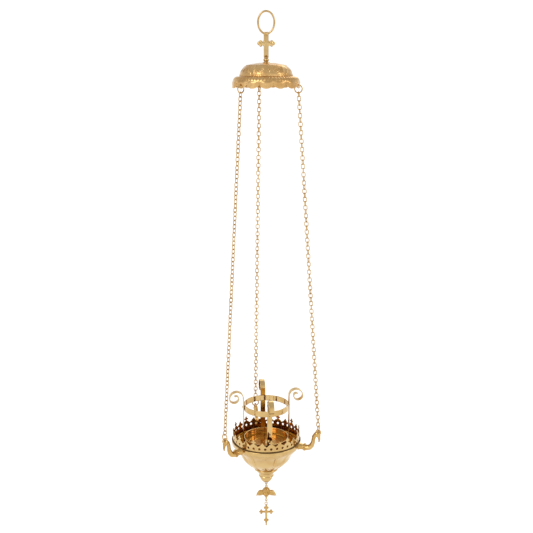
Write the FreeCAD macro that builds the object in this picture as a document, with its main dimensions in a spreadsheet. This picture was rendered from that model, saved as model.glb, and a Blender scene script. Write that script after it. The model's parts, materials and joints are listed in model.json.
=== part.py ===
import FreeCAD, Part
import math
import os
import Sketcher

# Hanging sanctuary oil lamp (lampada). The origin is the top bearing point inside the
# suspension ring, +Z is up, +X is to the right and the cross faces -Y.
# Every driving size is in millimetres or degrees.
SIZES = {
    # suspension ring: an oval of round wire
    "ring_wire": 2.0, "ring_width": 22.5, "ring_height": 29.4,
    # top cross, measured down from the wire at the bottom of the ring
    "cross_drop": 34.8, "cross_arm_drop": 11.4, "cross_shaft_foot": 27.9, "cross_span": 22.4,
    "cross_shaft_width": 6.0, "cross_arm_height": 4.0, "cross_depth": 3.2, "cross_bud": 2.3,
    "eye_outer": 3.4, "eye_bore": 1.7, "eye_width": 4.4, "eye_gap": 0.5,
    # knob under the cross and the stud that holds the canopy
    "knob_neck": 2.4, "knob_foot": 3.9, "knob_foot_height": 1.6,
    "stud_rad": 2.0, "stud_length": 6.4, "nut_height": 3.0, "nut_across": 7.0,
    "washer_rad": 4.6, "washer_height": 0.8,
    # canopy: spun dome, moulded flange and scalloped skirt
    "sheet": 1.2, "dome_rad": 33.6, "dome_height": 16.2, "shoulder_rad": 25.0, "shoulder_drop": 3.0,
    "crown_rad": 12.0, "crown_fall": 0.3, "skirt_rad": 42.2, "flange_drop": 6.4, "skirt_drop": 8.4,
    "scallop_count": 15, "scallop_rise": 4.6, "chain_hole": 1.2, "chain_hole_rise": 4.6,
    # chains: jump rings and links
    "chain_turn": 12.3, "upper_ring_mean": 4.85, "upper_ring_wire": 1.6, "lower_ring_mean": 4.5,
    "lower_ring_wire": 1.5, "link_count": 84, "link_pitch": 5.25, "link_width": 5.8,
    "link_wire": 1.2, "hang_gap": 0.1,
    # swan-neck brackets, placed out from the rim of the bowl
    "reach_out": 26.6, "bracket_rise": 19.6, "bracket_drop": 4.0, "tube_rad": 3.9, "neck_rad": 2.4,
    "neck_out": 19.8, "elbow_rad": 5.2, "head_rad": 4.7, "head_hole": 2.0, "open_gap": 1.1,
    "crest_rad": 3.6, "crest_width": 3.0, "beak_rad": 2.4, "beak_tip": 1.1, "beak_length": 8.0,
    "head_width": 6.8, "flange_rad": 5.6, "flange_thick": 1.8, "fit": 0.05,
    "collar_rad": 5.1, "collar_thick": 2.6, "collar_out": 6.2, "screw_rad": 1.5,
    "screw_depth": 6.0, "screw_head_rad": 2.4, "screw_head_height": 1.4,
    # bowl, rim bead and pierced crown
    "rim_rad": 47.4, "rim_wall": 7.2, "bowl_sheet": 1.3, "waist_rad": 36.6, "waist_drop": 17.0,
    "ledge_depth": 0.8,
    "bowl_foot_rad": 15.4, "bowl_depth": 40.8, "bead_rad": 0.7, "crown_sheet": 1.0,
    "crown_tall": 17.8, "crown_short": 13.8, "crown_valley": 9.4, "crown_turn": 8.5,
    "crown_tips": 12, "crown_holes": 36, "crown_hole_rad": 1.25, "crown_hole_rise": 5.0,
    # glass holder: two bands, four scrolled straps, a seat plate and rivets
    "band_rad": 30.75, "band_sheet": 1.2, "band_height": 7.8, "band_seam": 0.5,
    "upper_band_rise": 44.4, "lower_band_rise": -3.6, "strap_turn": 8.5, "strap_width": 6.8,
    "strap_sheet": 1.3, "scroll_rise": 61.5, "scroll_big": 10.0, "scroll_mid": 6.6,
    "scroll_small": 3.4, "strap_bend": 2.6, "strap_foot_in": 9.0, "rivet_rad": 1.2,
    "rivet_head": 2.0, "rivet_head_height": 0.9, "seat_inset": 2.35, "seat_sheet": 1.2,
    "seat_rivet_reach": 20.0, "seat_gap": 1.2,
    # centre rod, spacer, lower cup and its eye
    "rod_rad": 2.5, "rod_head_rad": 4.6, "rod_head_height": 1.2, "spacer_rad": 4.2,
    "cup_rad": 16.7, "cup_lip": 3.4, "cup_height": 22.9, "cup_waist": 9.4, "cup_tip": 4.2,
    "cup_thread": 14.0,
    # pendants below the cup
    "loop_hole": 1.1, "loop_bar": 1.0, "button_height": 0.8, "button_rad": 2.0, "small_wire": 0.9,
    "ring_a_mean": 2.0, "ring_bc_mean": 2.2,
    "cherub_drop": 20.0, "cherub_head_width": 10.6, "cherub_head_height": 15.6, "cherub_head_drop": 9.2,
    "cherub_depth": 6.4, "wing_span": 28.4, "wing_sheet": 1.8, "stub_rad": 1.2,
    "small_cross_length": 31.0, "small_cross_span": 20.6, "small_cross_bar": 2.8,
    "small_cross_depth": 2.0, "small_bud": 1.55, "small_cross_arm_drop": 10.4, "small_cross_top": 4.4,
    "small_cross_base_drop": 22.6,
}

doc = FreeCAD.newDocument("hanging_oil_lamp")
sheet = doc.addObject("Spreadsheet::Sheet", "Sizes")
for row, (alias, number) in enumerate(SIZES.items(), start=1):
    sheet.set("A%d" % row, alias)
    sheet.set("B%d" % row, str(number))
    sheet.setAlias("B%d" % row, alias)
doc.recompute()

NODES = []


def rule(text):
    """Turn $name into a reference to the cell called name."""
    return "".join("Sizes." + part if index else part for index, part in enumerate(text.split("$")))


def value(text):
    """The number that an expression of sizes gives."""
    return float(sheet.evalExpression(rule(text)))


# Levels along the axis, as expressions of the sizes.
PIVOT = "(-$ring_height + 1.5 * $ring_wire)"
DOME_TOP = "(" + PIVOT + " - $cross_drop)"
SKIRT_HEIGHT = "($dome_height + $flange_drop + $skirt_drop)"
SKIRT_EDGE = "(" + DOME_TOP + " - " + SKIRT_HEIGHT + ")"
HOLE_LEVEL = "(" + SKIRT_EDGE + " + $chain_hole_rise)"
HANG = "(" + HOLE_LEVEL + " - $chain_hole + $upper_ring_wire / 2 + $hang_gap)"
HANG_REACH = "($skirt_rad - $sheet / 2)"
LINKS_START = "(2 * $upper_ring_mean - $upper_ring_wire / 2)"
LINKS_END = "(" + LINKS_START + " + $link_count * $link_pitch)"
STRAND = "(" + LINKS_END + " + 2 * $lower_ring_mean - $lower_ring_wire / 2)"
REACH = "($rim_rad + $reach_out)"
LOWER_HANG = "(" + HANG + " - sqrt(" + STRAND + "^2 - (" + REACH + " - " + HANG_REACH + ")^2))"
RIM = "(" + LOWER_HANG + " - $bracket_rise)"
SEAT_TOP = "(" + RIM + " + $lower_band_rise - $seat_gap)"
FOOT_TOP = "(" + SEAT_TOP + " - $seat_sheet)"
BOWL_FOOT = "(" + RIM + " - $bowl_depth)"
CUP_FOOT = "(" + BOWL_FOOT + " - $cup_height)"
CUP_LOOP = "(" + CUP_FOOT + " - $button_height - $loop_hole - 0.8 * $loop_bar)"
SMALL_REST = "($small_wire / 2 + $hang_gap)"
RING_A_TOP = "(" + CUP_LOOP + " - $loop_hole + " + SMALL_REST + ")"
RING_A_FOOT = "(" + RING_A_TOP + " - 2 * $ring_a_mean)"
CHERUB_LOOP = "(" + RING_A_FOOT + " + " + SMALL_REST + " - $loop_hole)"
CHERUB_FOOT_LOOP = "(" + CHERUB_LOOP + " - $cherub_drop)"
RING_B_TOP = "(" + CHERUB_FOOT_LOOP + " - $loop_hole + " + SMALL_REST + ")"
RING_B_FOOT = "(" + RING_B_TOP + " - 2 * $ring_bc_mean)"
RING_C_TOP = "(" + RING_B_FOOT + " + $small_wire + $hang_gap)"
RING_C_FOOT = "(" + RING_C_TOP + " - 2 * $ring_bc_mean)"
CROSS_LOOP = "(" + RING_C_FOOT + " + " + SMALL_REST + " - $loop_hole)"

AXES = {
    "x": FreeCAD.Rotation(FreeCAD.Vector(0, 1, 0), 90),
    "y": FreeCAD.Rotation(FreeCAD.Vector(1, 0, 0), -90),
    "z": FreeCAD.Rotation(),
}


def put(shape_object, x="0", y="0", z="0", rotation=None):
    """Place an object by expressions of the sizes, with an optional turn."""
    if rotation is not None:
        shape_object.Placement = FreeCAD.Placement(FreeCAD.Vector(), rotation)
    for axis, text in (("x", x), ("y", y), ("z", z)):
        shape_object.setExpression("Placement.Base." + axis, rule(text))


def around(distance, angle, z="0"):
    """A place at a distance from the axis, in a direction in degrees."""
    turn = "(" + str(angle) + ") * 1deg"
    return {"x": "(%s) * cos(%s)" % (distance, turn), "y": "(%s) * sin(%s)" % (distance, turn), "z": z}


def turned_by(angle, rotation=None):
    about_axis = FreeCAD.Rotation(FreeCAD.Vector(0, 0, 1), angle)
    return about_axis.multiply(rotation) if rotation is not None else about_axis


def node(shape_object, label):
    shape_object.Label = label
    NODES.append(shape_object)
    return shape_object


def primitive(kind, rotation=None, place=None, **sizes):
    """A Part primitive whose sizes are bound to expressions."""
    made = doc.addObject("Part::" + kind, kind)
    for name, text in sizes.items():
        made.setExpression(name, rule(text))
    put(made, rotation=rotation, **(place or {}))
    return made


def rod(radius, height, axis="z", place=None):
    return primitive("Cylinder", AXES[axis], place, Radius=radius, Height=height)


def block(length, width, height, place):
    return primitive("Box", None, place, Length=length, Width=width, Height=height)


def fuse(pieces):
    made = doc.addObject("Part::MultiFuse", "Fusion")
    made.Shapes = pieces
    made.Refine = True
    return made


def cut(base, tool):
    made = doc.addObject("Part::Cut", "Cut")
    made.Base = base
    made.Tool = tool
    made.Refine = True
    return made


def tube(outer, inner, height, place, axis="z", rotation=None):
    """A round tube about an axis."""
    turn = rotation if rotation is not None else AXES[axis]
    made = cut(rod(outer, height), rod(inner, height))
    put(made, rotation=turn, **place)
    return made


def shaped(label, shape, placement=None):
    """A cast or bent piece whose shape is worked out from the sizes."""
    made = doc.addObject("Part::Feature", label)
    made.Shape = shape
    if placement is not None:
        made.Placement = placement
    return node(made, label)


def origin_plane(body, role):
    return next(item for item in body.Origin.OriginFeatures if item.Role == role)


def closed_sketch(body, name, role, outline):
    """A closed outline. A corner is (across, up) or (across, up, bulge): the bulge bends the side
    that follows into an arc, as the tangent of a quarter of its turn."""
    made = body.newObject("Sketcher::SketchObject", name)
    made.AttachmentSupport = [(origin_plane(body, role), "")]
    made.MapMode = "FlatFace"
    corners = [FreeCAD.Vector(value(corner[0]), value(corner[1]), 0) for corner in outline]
    sides = len(outline)
    for index, corner in enumerate(outline):
        start = corners[index]
        end = corners[(index + 1) % sides]
        bulge = corner[2] if len(corner) > 2 else 0
        if bulge:
            chord = end - start
            middle = (start + end) * 0.5 + FreeCAD.Vector(chord.y, -chord.x, 0) * (bulge / 2)
            made.addGeometry(Part.Arc(start, middle, end), False)
        else:
            made.addGeometry(Part.LineSegment(start, end), False)
    ends = []
    for index, corner in enumerate(outline):
        clockwise = len(corner) > 2 and corner[2] < 0
        ends.append((2, 1) if clockwise else (1, 2))
    for index in range(sides):
        following = (index + 1) % sides
        made.addConstraint(Sketcher.Constraint(
            "Coincident", index, ends[index][1], following, ends[following][0]))
    for index, corner in enumerate(outline):
        for kind, text, number in (("DistanceX", corner[0], corners[index].x),
                                   ("DistanceY", corner[1], corners[index].y)):
            place = made.addConstraint(Sketcher.Constraint(kind, -1, 1, index, ends[index][0], number))
            made.setExpression("Constraints[%d]" % place, rule(text))
        if len(corner) > 2 and corner[2]:
            following = outline[(index + 1) % sides]
            factor = (1 + corner[2] ** 2) / (4 * abs(corner[2]))
            text = "%.9f * sqrt((%s - (%s))^2 + (%s - (%s))^2)" % (
                factor, following[0], corner[0], following[1], corner[1])
            place = made.addConstraint(Sketcher.Constraint("Radius", index, value(text)))
            made.setExpression("Constraints[%d]" % place, rule(text))
    return made


def turned(label, outline, level, angle=0):
    """A body turned about its own vertical axis, placed at a level and turned by an angle."""
    body = doc.addObject("PartDesign::Body", label)
    profile = closed_sketch(body, label + "_profile", "XZ_Plane", outline)
    feature = body.newObject("PartDesign::Revolution", label + "_turned")
    feature.Profile = profile
    feature.ReferenceAxis = (profile, ["V_Axis"])
    feature.Angle = 360
    body.Tip = feature
    put(body, z=level, rotation=turned_by(angle))
    return node(body, label)


def ring_of_cuts(body, name, profile, count, depth):
    """Cut an outline through the wall on the -Y side and repeat it about the axis."""
    doc.recompute()
    before = body.Shape.Volume
    pocket = body.newObject("PartDesign::Pocket", name)
    pocket.Profile = profile
    pocket.Type = 0
    pocket.setExpression("Length", rule(depth))
    pocket.Reversed = True
    body.Tip = pocket
    doc.recompute()
    centre = pocket.Shape.Solids[0].CenterOfMass.y
    if centre < 0 or body.Shape.Volume >= before:
        pocket.Reversed = False
        doc.recompute()
    pattern = body.newObject("PartDesign::PolarPattern", name + "_ring")
    pattern.Originals = [pocket]
    pattern.Axis = (profile, ["V_Axis"])
    pattern.Angle = 360
    pattern.setExpression("Occurrences", rule(count))
    body.Tip = pattern
    doc.recompute()
    return pattern


def circle_sketch(body, name, role, radius, up, across="0"):
    made = body.newObject("Sketcher::SketchObject", name)
    made.AttachmentSupport = [(origin_plane(body, role), "")]
    made.MapMode = "FlatFace"
    centre = FreeCAD.Vector(value(across), value(up), 0)
    made.addGeometry(Part.Circle(centre, FreeCAD.Vector(0, 0, 1), value(radius)), False)
    made.addConstraint(Sketcher.Constraint("DistanceX", -1, 1, 0, 3, centre.x))
    made.addConstraint(Sketcher.Constraint("DistanceY", -1, 1, 0, 3, centre.y))
    made.addConstraint(Sketcher.Constraint("Radius", 0, value(radius)))
    for place, text in enumerate((across, up, radius)):
        made.setExpression("Constraints[%d]" % place, rule(text))
    return made


def make_suspension_ring():
    spine = doc.addObject("Part::Ellipse", "ring_line")
    spine.setExpression("MajorRadius", rule("($ring_height - $ring_wire) / 2"))
    spine.setExpression("MinorRadius", rule("($ring_width - $ring_wire) / 2"))
    spine.Placement = FreeCAD.Placement(FreeCAD.Vector(), FreeCAD.Rotation(
        FreeCAD.Vector(0, 0, 1), FreeCAD.Vector(1, 0, 0), FreeCAD.Vector(0, 1, 0), "ZXY"))
    section = doc.addObject("Part::Circle", "ring_section")
    section.setExpression("Radius", rule("$ring_wire / 2"))
    section.Placement = FreeCAD.Placement(FreeCAD.Vector(), AXES["x"])
    section.setExpression("Placement.Base.z", rule("($ring_height - $ring_wire) / 2"))
    ring = doc.addObject("Part::Sweep", "suspension_ring")
    ring.Sections = [section]
    ring.Spine = (spine, ["Edge1"])
    ring.Solid = True
    ring.Frenet = True
    put(ring, z="$ring_wire - $ring_height / 2")
    node(ring, "suspension_ring")


def budded_end(x, z, outward, bud, depth):
    """Three round buds at the end of an arm; outward is the arm's direction as (x, z)."""
    across = (outward[1], outward[0])
    spots = (outward, across, (-across[0], -across[1]))
    return [rod(bud, depth, "y", {
        "x": "%s + %s * (%d)" % (x, bud, spot[0]), "y": "-(%s) / 2" % depth,
        "z": "%s + %s * (%d)" % (z, bud, spot[1])}) for spot in spots]


def make_top_cross():
    half_arm = "($cross_span / 2 - 2 * $cross_bud)"
    eye_level = "($ring_wire / 2 - $eye_bore + 0.45 * $eye_bore)"
    shaft = block("$cross_shaft_width", "$cross_depth", "$cross_shaft_foot - $eye_outer / 2", {
        "x": "-$cross_shaft_width / 2", "y": "-$cross_depth / 2", "z": "-$cross_shaft_foot"})
    arms = block("2 * " + half_arm, "$cross_depth", "$cross_arm_height", {
        "x": "-" + half_arm, "y": "-$cross_depth / 2", "z": "-$cross_arm_drop - $cross_arm_height / 2"})
    eye = rod("$eye_outer", "$eye_width", "x", {"x": "-$eye_width / 2", "z": eye_level})
    pieces = [shaft, arms, eye]
    for side in (-1, 1):
        pieces += budded_end("%d * %s" % (side, half_arm), "-$cross_arm_drop", (side, 0),
                             "$cross_bud", "$cross_depth")
    bore = rod("$eye_bore", "2 * $eye_width", "x", {
        "x": "-$eye_width", "z": "$ring_wire / 2 + $eye_gap - $eye_bore"})
    cross = cut(fuse(pieces), bore)
    put(cross, z=PIVOT)
    node(cross, "top_cross")


def make_knob():
    top = "($cross_drop - $cross_shaft_foot)"
    waist = "$knob_foot_height"
    turned("cross_knob", [
        ("0", top), ("$knob_neck", top, -0.55), ("$knob_neck", waist, 0.2),
        ("$knob_foot", "0"), ("$stud_rad", "0"), ("$stud_rad", "-$stud_length"), ("0", "-$stud_length")],
        DOME_TOP)


def hex_nut(label, across, bore, height, level):
    blank = primitive("Prism", None, None, Circumradius=across + " / 2 / cos(30deg)", Height=height)
    nut = cut(blank, rod(bore, height))
    put(nut, z=level)
    node(nut, label)


def make_canopy_fixing():
    washer_top = DOME_TOP + " - $crown_fall - $sheet"
    washer = tube("$washer_rad", "$stud_rad + $fit", "$washer_height", {
        "z": washer_top + " - $washer_height"})
    node(washer, "canopy_washer")
    hex_nut("canopy_nut", "$nut_across", "$stud_rad + $fit", "$nut_height",
            washer_top + " - $washer_height - $nut_height")


def make_canopy():
    flange = "($dome_height + $flange_drop)"
    inside = "($skirt_rad - $sheet)"
    canopy = turned("canopy", [
        ("$stud_rad + $fit", "0"), ("$crown_rad", "-$crown_fall", -0.04),
        ("$shoulder_rad", "-$shoulder_drop", -0.2), ("$dome_rad", "-$dome_height"),
        ("$dome_rad + $sheet", "-$dome_height", -0.3), ("$skirt_rad", "-" + flange),
        ("$skirt_rad", "-" + SKIRT_HEIGHT), (inside, "-" + SKIRT_HEIGHT),
        (inside, "-%s" % flange, 0.3), ("$dome_rad", "-$dome_height - $sheet"),
        ("$dome_rad - $sheet", "-$dome_height - $sheet"), ("$dome_rad - $sheet", "-$dome_height", 0.2),
        ("$shoulder_rad - $sheet / 2", "-$shoulder_drop - $sheet", 0.04),
        ("$crown_rad", "-$crown_fall - $sheet"), ("$stud_rad + $fit", "-$crown_fall - $sheet")],
        DOME_TOP, value("$chain_turn - 60"))
    half = "($skirt_rad * sin(180deg / $scallop_count))"
    bend = math.tan(math.atan(value("$scallop_rise") / value(half)) / 2)
    valley = "(-%s + $scallop_rise)" % SKIRT_HEIGHT
    below = "(-%s - $sheet)" % SKIRT_HEIGHT
    notch = closed_sketch(canopy, "scallop_outline", "XZ_Plane", [
        ("-" + half, valley, bend), ("0", "-" + SKIRT_HEIGHT, bend), (half, valley),
        (half, below), ("-" + half, below)])
    ring_of_cuts(canopy, "scallops", notch, "$scallop_count", "$skirt_rad + 1")
    hole = circle_sketch(canopy, "chain_hole_outline", "XZ_Plane", "$chain_hole",
                         "-%s + $chain_hole_rise" % SKIRT_HEIGHT)
    ring_of_cuts(canopy, "chain_holes", hole, "3", "$skirt_rad + 1")


SPREAD = "((" + REACH + " - " + HANG_REACH + ") / " + STRAND + ")"


def on_strand(distance, angle):
    """A place on a chain's line, at a distance below the hole in the skirt."""
    return around("%s + %s * (%s)" % (HANG_REACH, SPREAD, distance), angle,
                  "%s - sqrt(1 - %s^2) * (%s)" % (HANG, SPREAD, distance))


def chain_link(length, width, wire):
    """A long link of round wire, upright in the XZ plane, about the origin."""
    bend = width / 2
    straight = length / 2 - bend
    top = FreeCAD.Vector(0, 0, straight + bend)
    foot = FreeCAD.Vector(0, 0, -straight - bend)
    right = [FreeCAD.Vector(bend, 0, height) for height in (straight, -straight)]
    left = [FreeCAD.Vector(-bend, 0, height) for height in (-straight, straight)]
    path = Part.Wire([
        Part.Arc(left[1], top, right[0]).toShape(), Part.LineSegment(right[0], right[1]).toShape(),
        Part.Arc(right[1], foot, left[0]).toShape(), Part.LineSegment(left[0], left[1]).toShape()])
    section = Part.Wire(Part.Circle(left[1], FreeCAD.Vector(0, 0, 1), wire / 2).toShape())
    return path.makePipeShell([section], True, False)


def make_chains():
    wire = value("$link_wire")
    pitch = value("$link_pitch")
    link = chain_link(pitch + wire, value("$link_width") - wire, wire)
    # Each link is a quarter turn on from the one above. The first crosses the upper ring and the last
    # crosses the lower ring, so an odd count spreads the turn that is left over along the chain.
    count = int(value("$link_count"))
    turn_by = 90.0 * (count - 1 - (count % 2)) / (count - 1)
    lean = FreeCAD.Rotation(FreeCAD.Vector(0, 1, 0), -math.degrees(math.asin(value(SPREAD))))
    for number in range(3):
        name = str(number + 1)
        angle = value("$chain_turn + 210") + 120 * number
        course = turned_by(angle, lean)
        upper = primitive("Torus", course.multiply(AXES["y"]), on_strand("$upper_ring_mean", angle),
                          Radius1="$upper_ring_mean", Radius2="$upper_ring_wire / 2")
        node(upper, "upper_jump_ring_" + name)
        links = []
        for index in range(count):
            copy = link.copy()
            copy.rotate(FreeCAD.Vector(), FreeCAD.Vector(0, 0, 1), 90 + turn_by * index)
            copy.translate(FreeCAD.Vector(0, 0, -value(LINKS_START) - pitch * (index + 0.5)))
            links.append(copy)
        start = FreeCAD.Vector(value(HANG_REACH), 0, 0)
        place = FreeCAD.Placement(FreeCAD.Vector(0, 0, value(HANG)) + turned_by(angle).multVec(start), course)
        shaped("chain_" + name, Part.makeCompound(links), place)
        centre = LINKS_END + " + $lower_ring_mean - $lower_ring_wire / 2"
        lower = primitive("Torus", course.multiply(AXES["x"]), on_strand(centre, angle),
                          Radius1="$lower_ring_mean", Radius2="$lower_ring_wire / 2")
        node(lower, "lower_jump_ring_" + name)


def swan_bracket_shape():
    """The bracket in its own upright plane: X runs out from the lamp's axis, the rim is at Z = 0."""
    level = -value("$bracket_drop")
    bend = value("$elbow_rad")
    neck = value("$rim_rad + $neck_out")
    crest_level = value("$bracket_rise + $lower_ring_wire / 2 + $open_gap - $head_hole")
    crest = FreeCAD.Vector(value(REACH), 0, crest_level)
    head = value("$head_rad")
    head_centre = FreeCAD.Vector(crest.x - head * 0.3, 0, crest.z - head * 0.8)
    start = FreeCAD.Vector(value("$rim_rad"), 0, level)
    turn_in = FreeCAD.Vector(neck - bend, 0, level)
    turn_out = FreeCAD.Vector(neck, 0, level + bend)
    inset = bend * (1 - math.sin(math.pi / 4))
    middle = FreeCAD.Vector(neck - inset, 0, level + inset)
    nape = FreeCAD.Vector(neck, 0, head_centre.z - head * 0.3)
    path = Part.Wire([
        Part.LineSegment(start, turn_in).toShape(), Part.Arc(turn_in, middle, turn_out).toShape(),
        Part.LineSegment(turn_out, nape).toShape()])
    base = Part.Wire(Part.Circle(start, FreeCAD.Vector(1, 0, 0), value("$tube_rad")).toShape())
    throat = Part.Wire(Part.Circle(nape, FreeCAD.Vector(0, 0, 1), value("$neck_rad")).toShape())
    neck_solid = path.makePipeShell([base, throat], True, False)
    nape_ball = Part.makeSphere(value("$neck_rad"), nape)
    bridge = Part.makeCylinder(value("$neck_rad"), (head_centre - nape).Length, nape, head_centre - nape)
    width = value("$head_width")
    skull = Part.makeSphere(head, head_centre).common(
        Part.makeBox(4 * head, width, 4 * head, head_centre - FreeCAD.Vector(2 * head, width / 2, 2 * head)))
    beak_root = head_centre + FreeCAD.Vector(head * 0.45, 0, -head * 0.3)
    beak_way = FreeCAD.Vector(0.2, 0, -1)
    beak = Part.makeCone(value("$beak_rad"), value("$beak_tip"), value("$beak_length"), beak_root, beak_way)
    thick = value("$crest_width")
    sideways = FreeCAD.Vector(0, 1, 0)
    lug = Part.makeCylinder(value("$crest_rad"), thick, crest - sideways * (thick / 2), sideways)
    hole = Part.makeCylinder(value("$head_hole"), 4 * head, crest - sideways * (2 * head), sideways)
    flange = Part.makeCylinder(value("$flange_rad"), value("$flange_thick"),
                               start + FreeCAD.Vector(0.25, 0, 0), FreeCAD.Vector(1, 0, 0))
    outward = FreeCAD.Vector(1, 0, 0)
    tapping = Part.makeCylinder(value("$screw_rad + $fit"), value("$screw_depth"), start, outward)
    whole = neck_solid.fuse([nape_ball, bridge, skull, beak, lug, flange])
    return whole.cut(hole).cut(tapping).removeSplitter()


def make_brackets():
    bracket = swan_bracket_shape()
    level = RIM + " - $bracket_drop"
    for number in range(3):
        name = str(number + 1)
        angle = value("$chain_turn + 210") + 120 * number
        shaped("swan_bracket_" + name, bracket.copy(), FreeCAD.Placement(
            FreeCAD.Vector(0, 0, value(RIM)), turned_by(angle)))
        outward = turned_by(angle, AXES["x"])
        collar = tube("$collar_rad", "$tube_rad + $fit", "$collar_thick",
                      around("$rim_rad + $collar_out", angle, level), rotation=outward)
        node(collar, "bracket_collar_" + name)
        inner_wall = "($rim_rad - $bowl_sheet)"
        screw = fuse([rod("$screw_head_rad", "$screw_head_height"),
                      rod("$screw_rad", "$screw_head_height + $bowl_sheet + 0.9 * $screw_depth")])
        put(screw, rotation=outward, **around(inner_wall + " - $screw_head_height - 2 * $fit", angle, level))
        node(screw, "bracket_screw_" + name)


def make_bowl():
    wall_in = "($rim_rad - $bowl_sheet)"
    ledge = "($rim_rad - 2 * $bead_rad - $crown_sheet)"
    bore = "($rod_rad + $fit)"
    bowl = turned("bowl", [
        ("$rim_rad", "0"), ("$rim_rad", "-$rim_wall", 0.18), ("$waist_rad", "-$waist_drop", -0.12),
        ("$bowl_foot_rad", "-$bowl_depth"), (bore, "-$bowl_depth"), (bore, "-$bowl_depth + $bowl_sheet"),
        ("$bowl_foot_rad - $bowl_sheet / 2", "-$bowl_depth + $bowl_sheet", 0.12),
        ("$waist_rad - $bowl_sheet", "-$waist_drop + $bowl_sheet / 2", -0.18),
        (wall_in, "-$rim_wall + $bowl_sheet / 2"), (wall_in, "-$ledge_depth - $bowl_sheet / 2"),
        (ledge, "-$ledge_depth"), (ledge, "0")], RIM, value("$chain_turn - 60"))
    hole = circle_sketch(bowl, "screw_hole_outline", "XZ_Plane", "$screw_rad + $fit", "-$bracket_drop")
    ring_of_cuts(bowl, "screw_holes", hole, "3", "$rim_rad + 1")


def make_rim_bead():
    bead = primitive("Torus", None, {"z": RIM + " + $bead_rad"},
                     Radius1="$rim_rad - $bead_rad", Radius2="$bead_rad")
    node(bead, "rim_bead")


def make_crown():
    outside = "($rim_rad - 2 * $bead_rad)"
    crown = turned("crown_gallery", [
        (outside, "0"), (outside, "$crown_tall"), (outside + " - $crown_sheet", "$crown_tall"),
        (outside + " - $crown_sheet", "0")], RIM, value("$crown_turn"))
    half = "(%s * sin(180deg / $crown_tips))" % outside
    right_side = [
        ("0.8", "$crown_tall - 1.2"), ("0.7", "$crown_tall - 2.0"), ("2.2", "$crown_tall - 2.6"),
        ("2.2", "$crown_tall - 3.8"), ("0.9", "$crown_tall - 4.4"),
        ("1.5", "$crown_tall - 5.6"), (half + " / 2 - 2.4", "$crown_valley + 2.4", 0.4142),
        (half + " / 2", "$crown_valley", 0.4142), (half + " / 2 + 2.4", "$crown_valley + 2.4"),
        (half + " - 0.7", "$crown_short - 2.8"), (half + " - 1.4", "$crown_short - 1.7")]
    left_side = []
    for index in range(len(right_side) - 1, -1, -1):
        corner = right_side[index]
        mirrored = ("-(%s)" % corner[0], corner[1])
        before = right_side[index - 1] if index else ()
        left_side.append(mirrored + ((before[2],) if len(before) > 2 else ()))
    above = "($crown_tall + $crown_sheet)"
    outline = ([("-" + half, above), ("-" + half, "$crown_short")] + left_side + [("0", "$crown_tall")]
               + right_side + [(half, "$crown_short"), (half, above)])
    gaps = closed_sketch(crown, "tip_outline", "XZ_Plane", outline)
    ring_of_cuts(crown, "tips", gaps, "$crown_tips", "$rim_rad + 1")
    hole = circle_sketch(crown, "hole_outline", "XZ_Plane", "$crown_hole_rad", "$crown_hole_rise",
                         "%s * sin(180deg / $crown_holes)" % outside)
    ring_of_cuts(crown, "holes", hole, "$crown_holes", "$rim_rad + 1")


def make_bands():
    for label, rise in (("holder_upper_band", "$upper_band_rise"), ("holder_lower_band", "$lower_band_rise")):
        band = tube("$band_rad", "$band_rad - $band_sheet", "$band_height", {})
        seam = block("$band_seam", "2 * $band_sheet", "$band_height", {
            "x": "-$band_sheet * 3.2", "y": "-$band_rad - $band_sheet / 2"})
        holes = []
        for quarter in range(4):
            spot = around("$band_rad - 2 * $band_sheet", "$strap_turn - 90 + %d" % (90 * quarter),
                          "$band_height / 2")
            outward = turned_by(value("$strap_turn") - 90 + 90 * quarter, AXES["x"])
            holes.append(primitive("Cylinder", outward, spot, Radius="$rivet_rad + $fit",
                                   Height="4 * $band_sheet"))
        split_band = cut(band, fuse([seam] + holes))
        put(split_band, z=RIM + " + " + rise)
        node(split_band, label)


def ribbon(start, heading, moves, thick):
    """A closed face: a strip of even thickness that follows straight runs and tangent bends.
    A move is (length,) or (radius, turn in degrees), where a positive turn bends to the left."""
    sides = {1: [], -1: []}
    here = FreeCAD.Vector(*start)
    angle = math.radians(heading)
    for move in moves:
        if len(move) == 1:
            there = here + FreeCAD.Vector(math.cos(angle), 0, math.sin(angle)) * move[0]
            for side in sides:
                shift = FreeCAD.Vector(-math.sin(angle), 0, math.cos(angle)) * (side * thick / 2)
                sides[side].append(Part.LineSegment(here + shift, there + shift))
            here = there
            continue
        radius, turn = move[0], math.radians(move[1])
        way = 1 if turn > 0 else -1
        centre = here + FreeCAD.Vector(-math.sin(angle), 0, math.cos(angle)) * (way * radius)
        for side in sides:
            reach = radius - way * side * thick / 2
            spots = [centre + FreeCAD.Vector(math.sin(angle + part * turn), 0, -math.cos(angle + part * turn))
                     * (way * reach) for part in (0, 0.5, 1)]
            sides[side].append(Part.Arc(*spots))
        angle += turn
        here = centre + FreeCAD.Vector(math.sin(angle), 0, -math.cos(angle)) * (way * radius)
    left, right = sides[1], sides[-1]
    edges = [curve.toShape() for curve in left + right]
    edges.append(Part.LineSegment(left[0].StartPoint, right[0].StartPoint).toShape())
    edges.append(Part.LineSegment(left[-1].EndPoint, right[-1].EndPoint).toShape())
    return Part.Face(Part.Wire(Part.__sortEdges__(edges)))


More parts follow.
